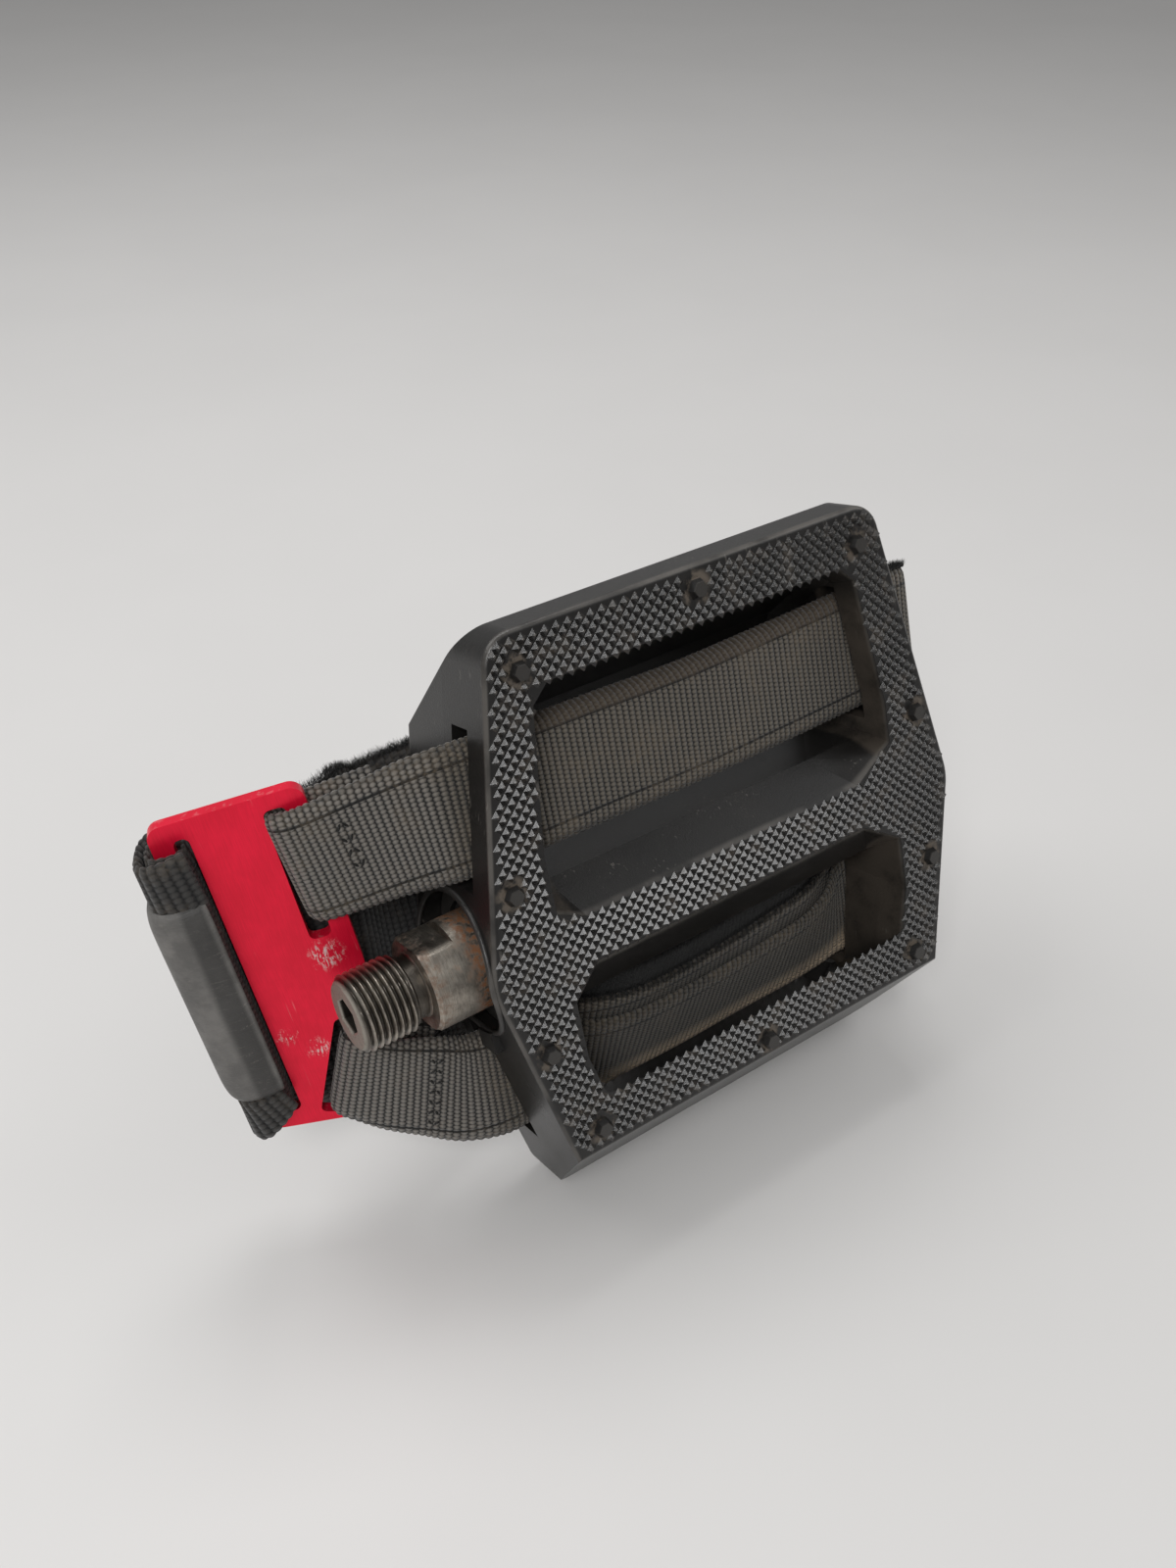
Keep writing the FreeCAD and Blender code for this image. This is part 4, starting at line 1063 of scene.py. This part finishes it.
shot = {"at": (-68.9, -155.1, 176.9), "right": (0.8223, -0.5691, 0.0), "down": (-0.3528, -0.5102, -0.7844),
        "focal": 1436.2, "imageHeight": 1600, "film": 24.0, "near": 0.005}
studio = {"floor": (0.62, 0.61, 0.60), "shade": 0.98, "reach": 6.0, "gap": 0.0002, "world": 0.32,
          "lamps": [((-0.35, 0.45, 0.75), 0.6, 3.5), ((-0.40, -0.45, 0.65), 0.3, 3.7),
                    ((0.2, 0.31, 0.8), 0.3, 1.9), ((0.65, -0.25, 0.6), 0.6, 1.4)]}  # place, size, power


def makeFloor():
    low = cadBox[0].z - studio["gap"]
    reach = studio["reach"]
    corners = [(-reach, -reach, low), (reach, -reach, low), (reach, reach, low), (-reach, reach, low)]
    made = Finish("studio floor", Roughness=0.6, Specular_IOR_Level=0.3)
    where = made.value("ShaderNodeTexCoord", key="Object")
    cloudy = made.grain(where, 9.0, 3.0)
    shaded = [value * studio["shade"] for value in studio["floor"]]
    made.feed(Base_Color=made.tint(made.fade(cloudy, 0.3, 0.7), shaded, studio["floor"]))
    addPiece("studio_floor", corners, [(0, 1, 2, 3)], made.material)


def makeLights():
    world = bpy.data.worlds.new("studio")
    bpy.context.scene.world = world
    world.use_nodes = True
    background = world.node_tree.nodes["Background"]
    background.inputs["Color"].default_value = (1, 1, 1, 1)
    background.inputs["Strength"].default_value = studio["world"]
    target = toRow((0, 0, 0))
    for index, (at, size, power) in enumerate(studio["lamps"]):
        lamp = bpy.data.lights.new(f"soft_{index}", "AREA")
        lamp.size = size
        lamp.energy = power
        holder = addObject(f"soft_{index}", lamp)
        holder.location = at
        holder.rotation_euler = (target - Vector(at)).to_track_quat("-Z", "Y").to_euler()


def makeCamera():
    right, up = Vector(shot["right"]), -Vector(shot["down"])
    back = right.cross(up)
    lens = bpy.data.cameras.new("camera")
    lens.sensor_fit = "VERTICAL"
    lens.sensor_height = shot["film"]
    lens.lens = shot["focal"] / shot["imageHeight"] * shot["film"]
    lens.clip_start = shot["near"]
    holder = addObject("camera", lens)
    turn = Matrix((right, up, back)).transposed().to_4x4()
    holder.matrix_world = Matrix.Translation(Vector(shot["at"]) / 1000) @ turn
    bpy.context.scene.camera = holder


makeFloor()
makeLights()
makeCamera()
bpy.context.scene.view_settings.view_transform = "Standard"
print("floor, light and camera ready")
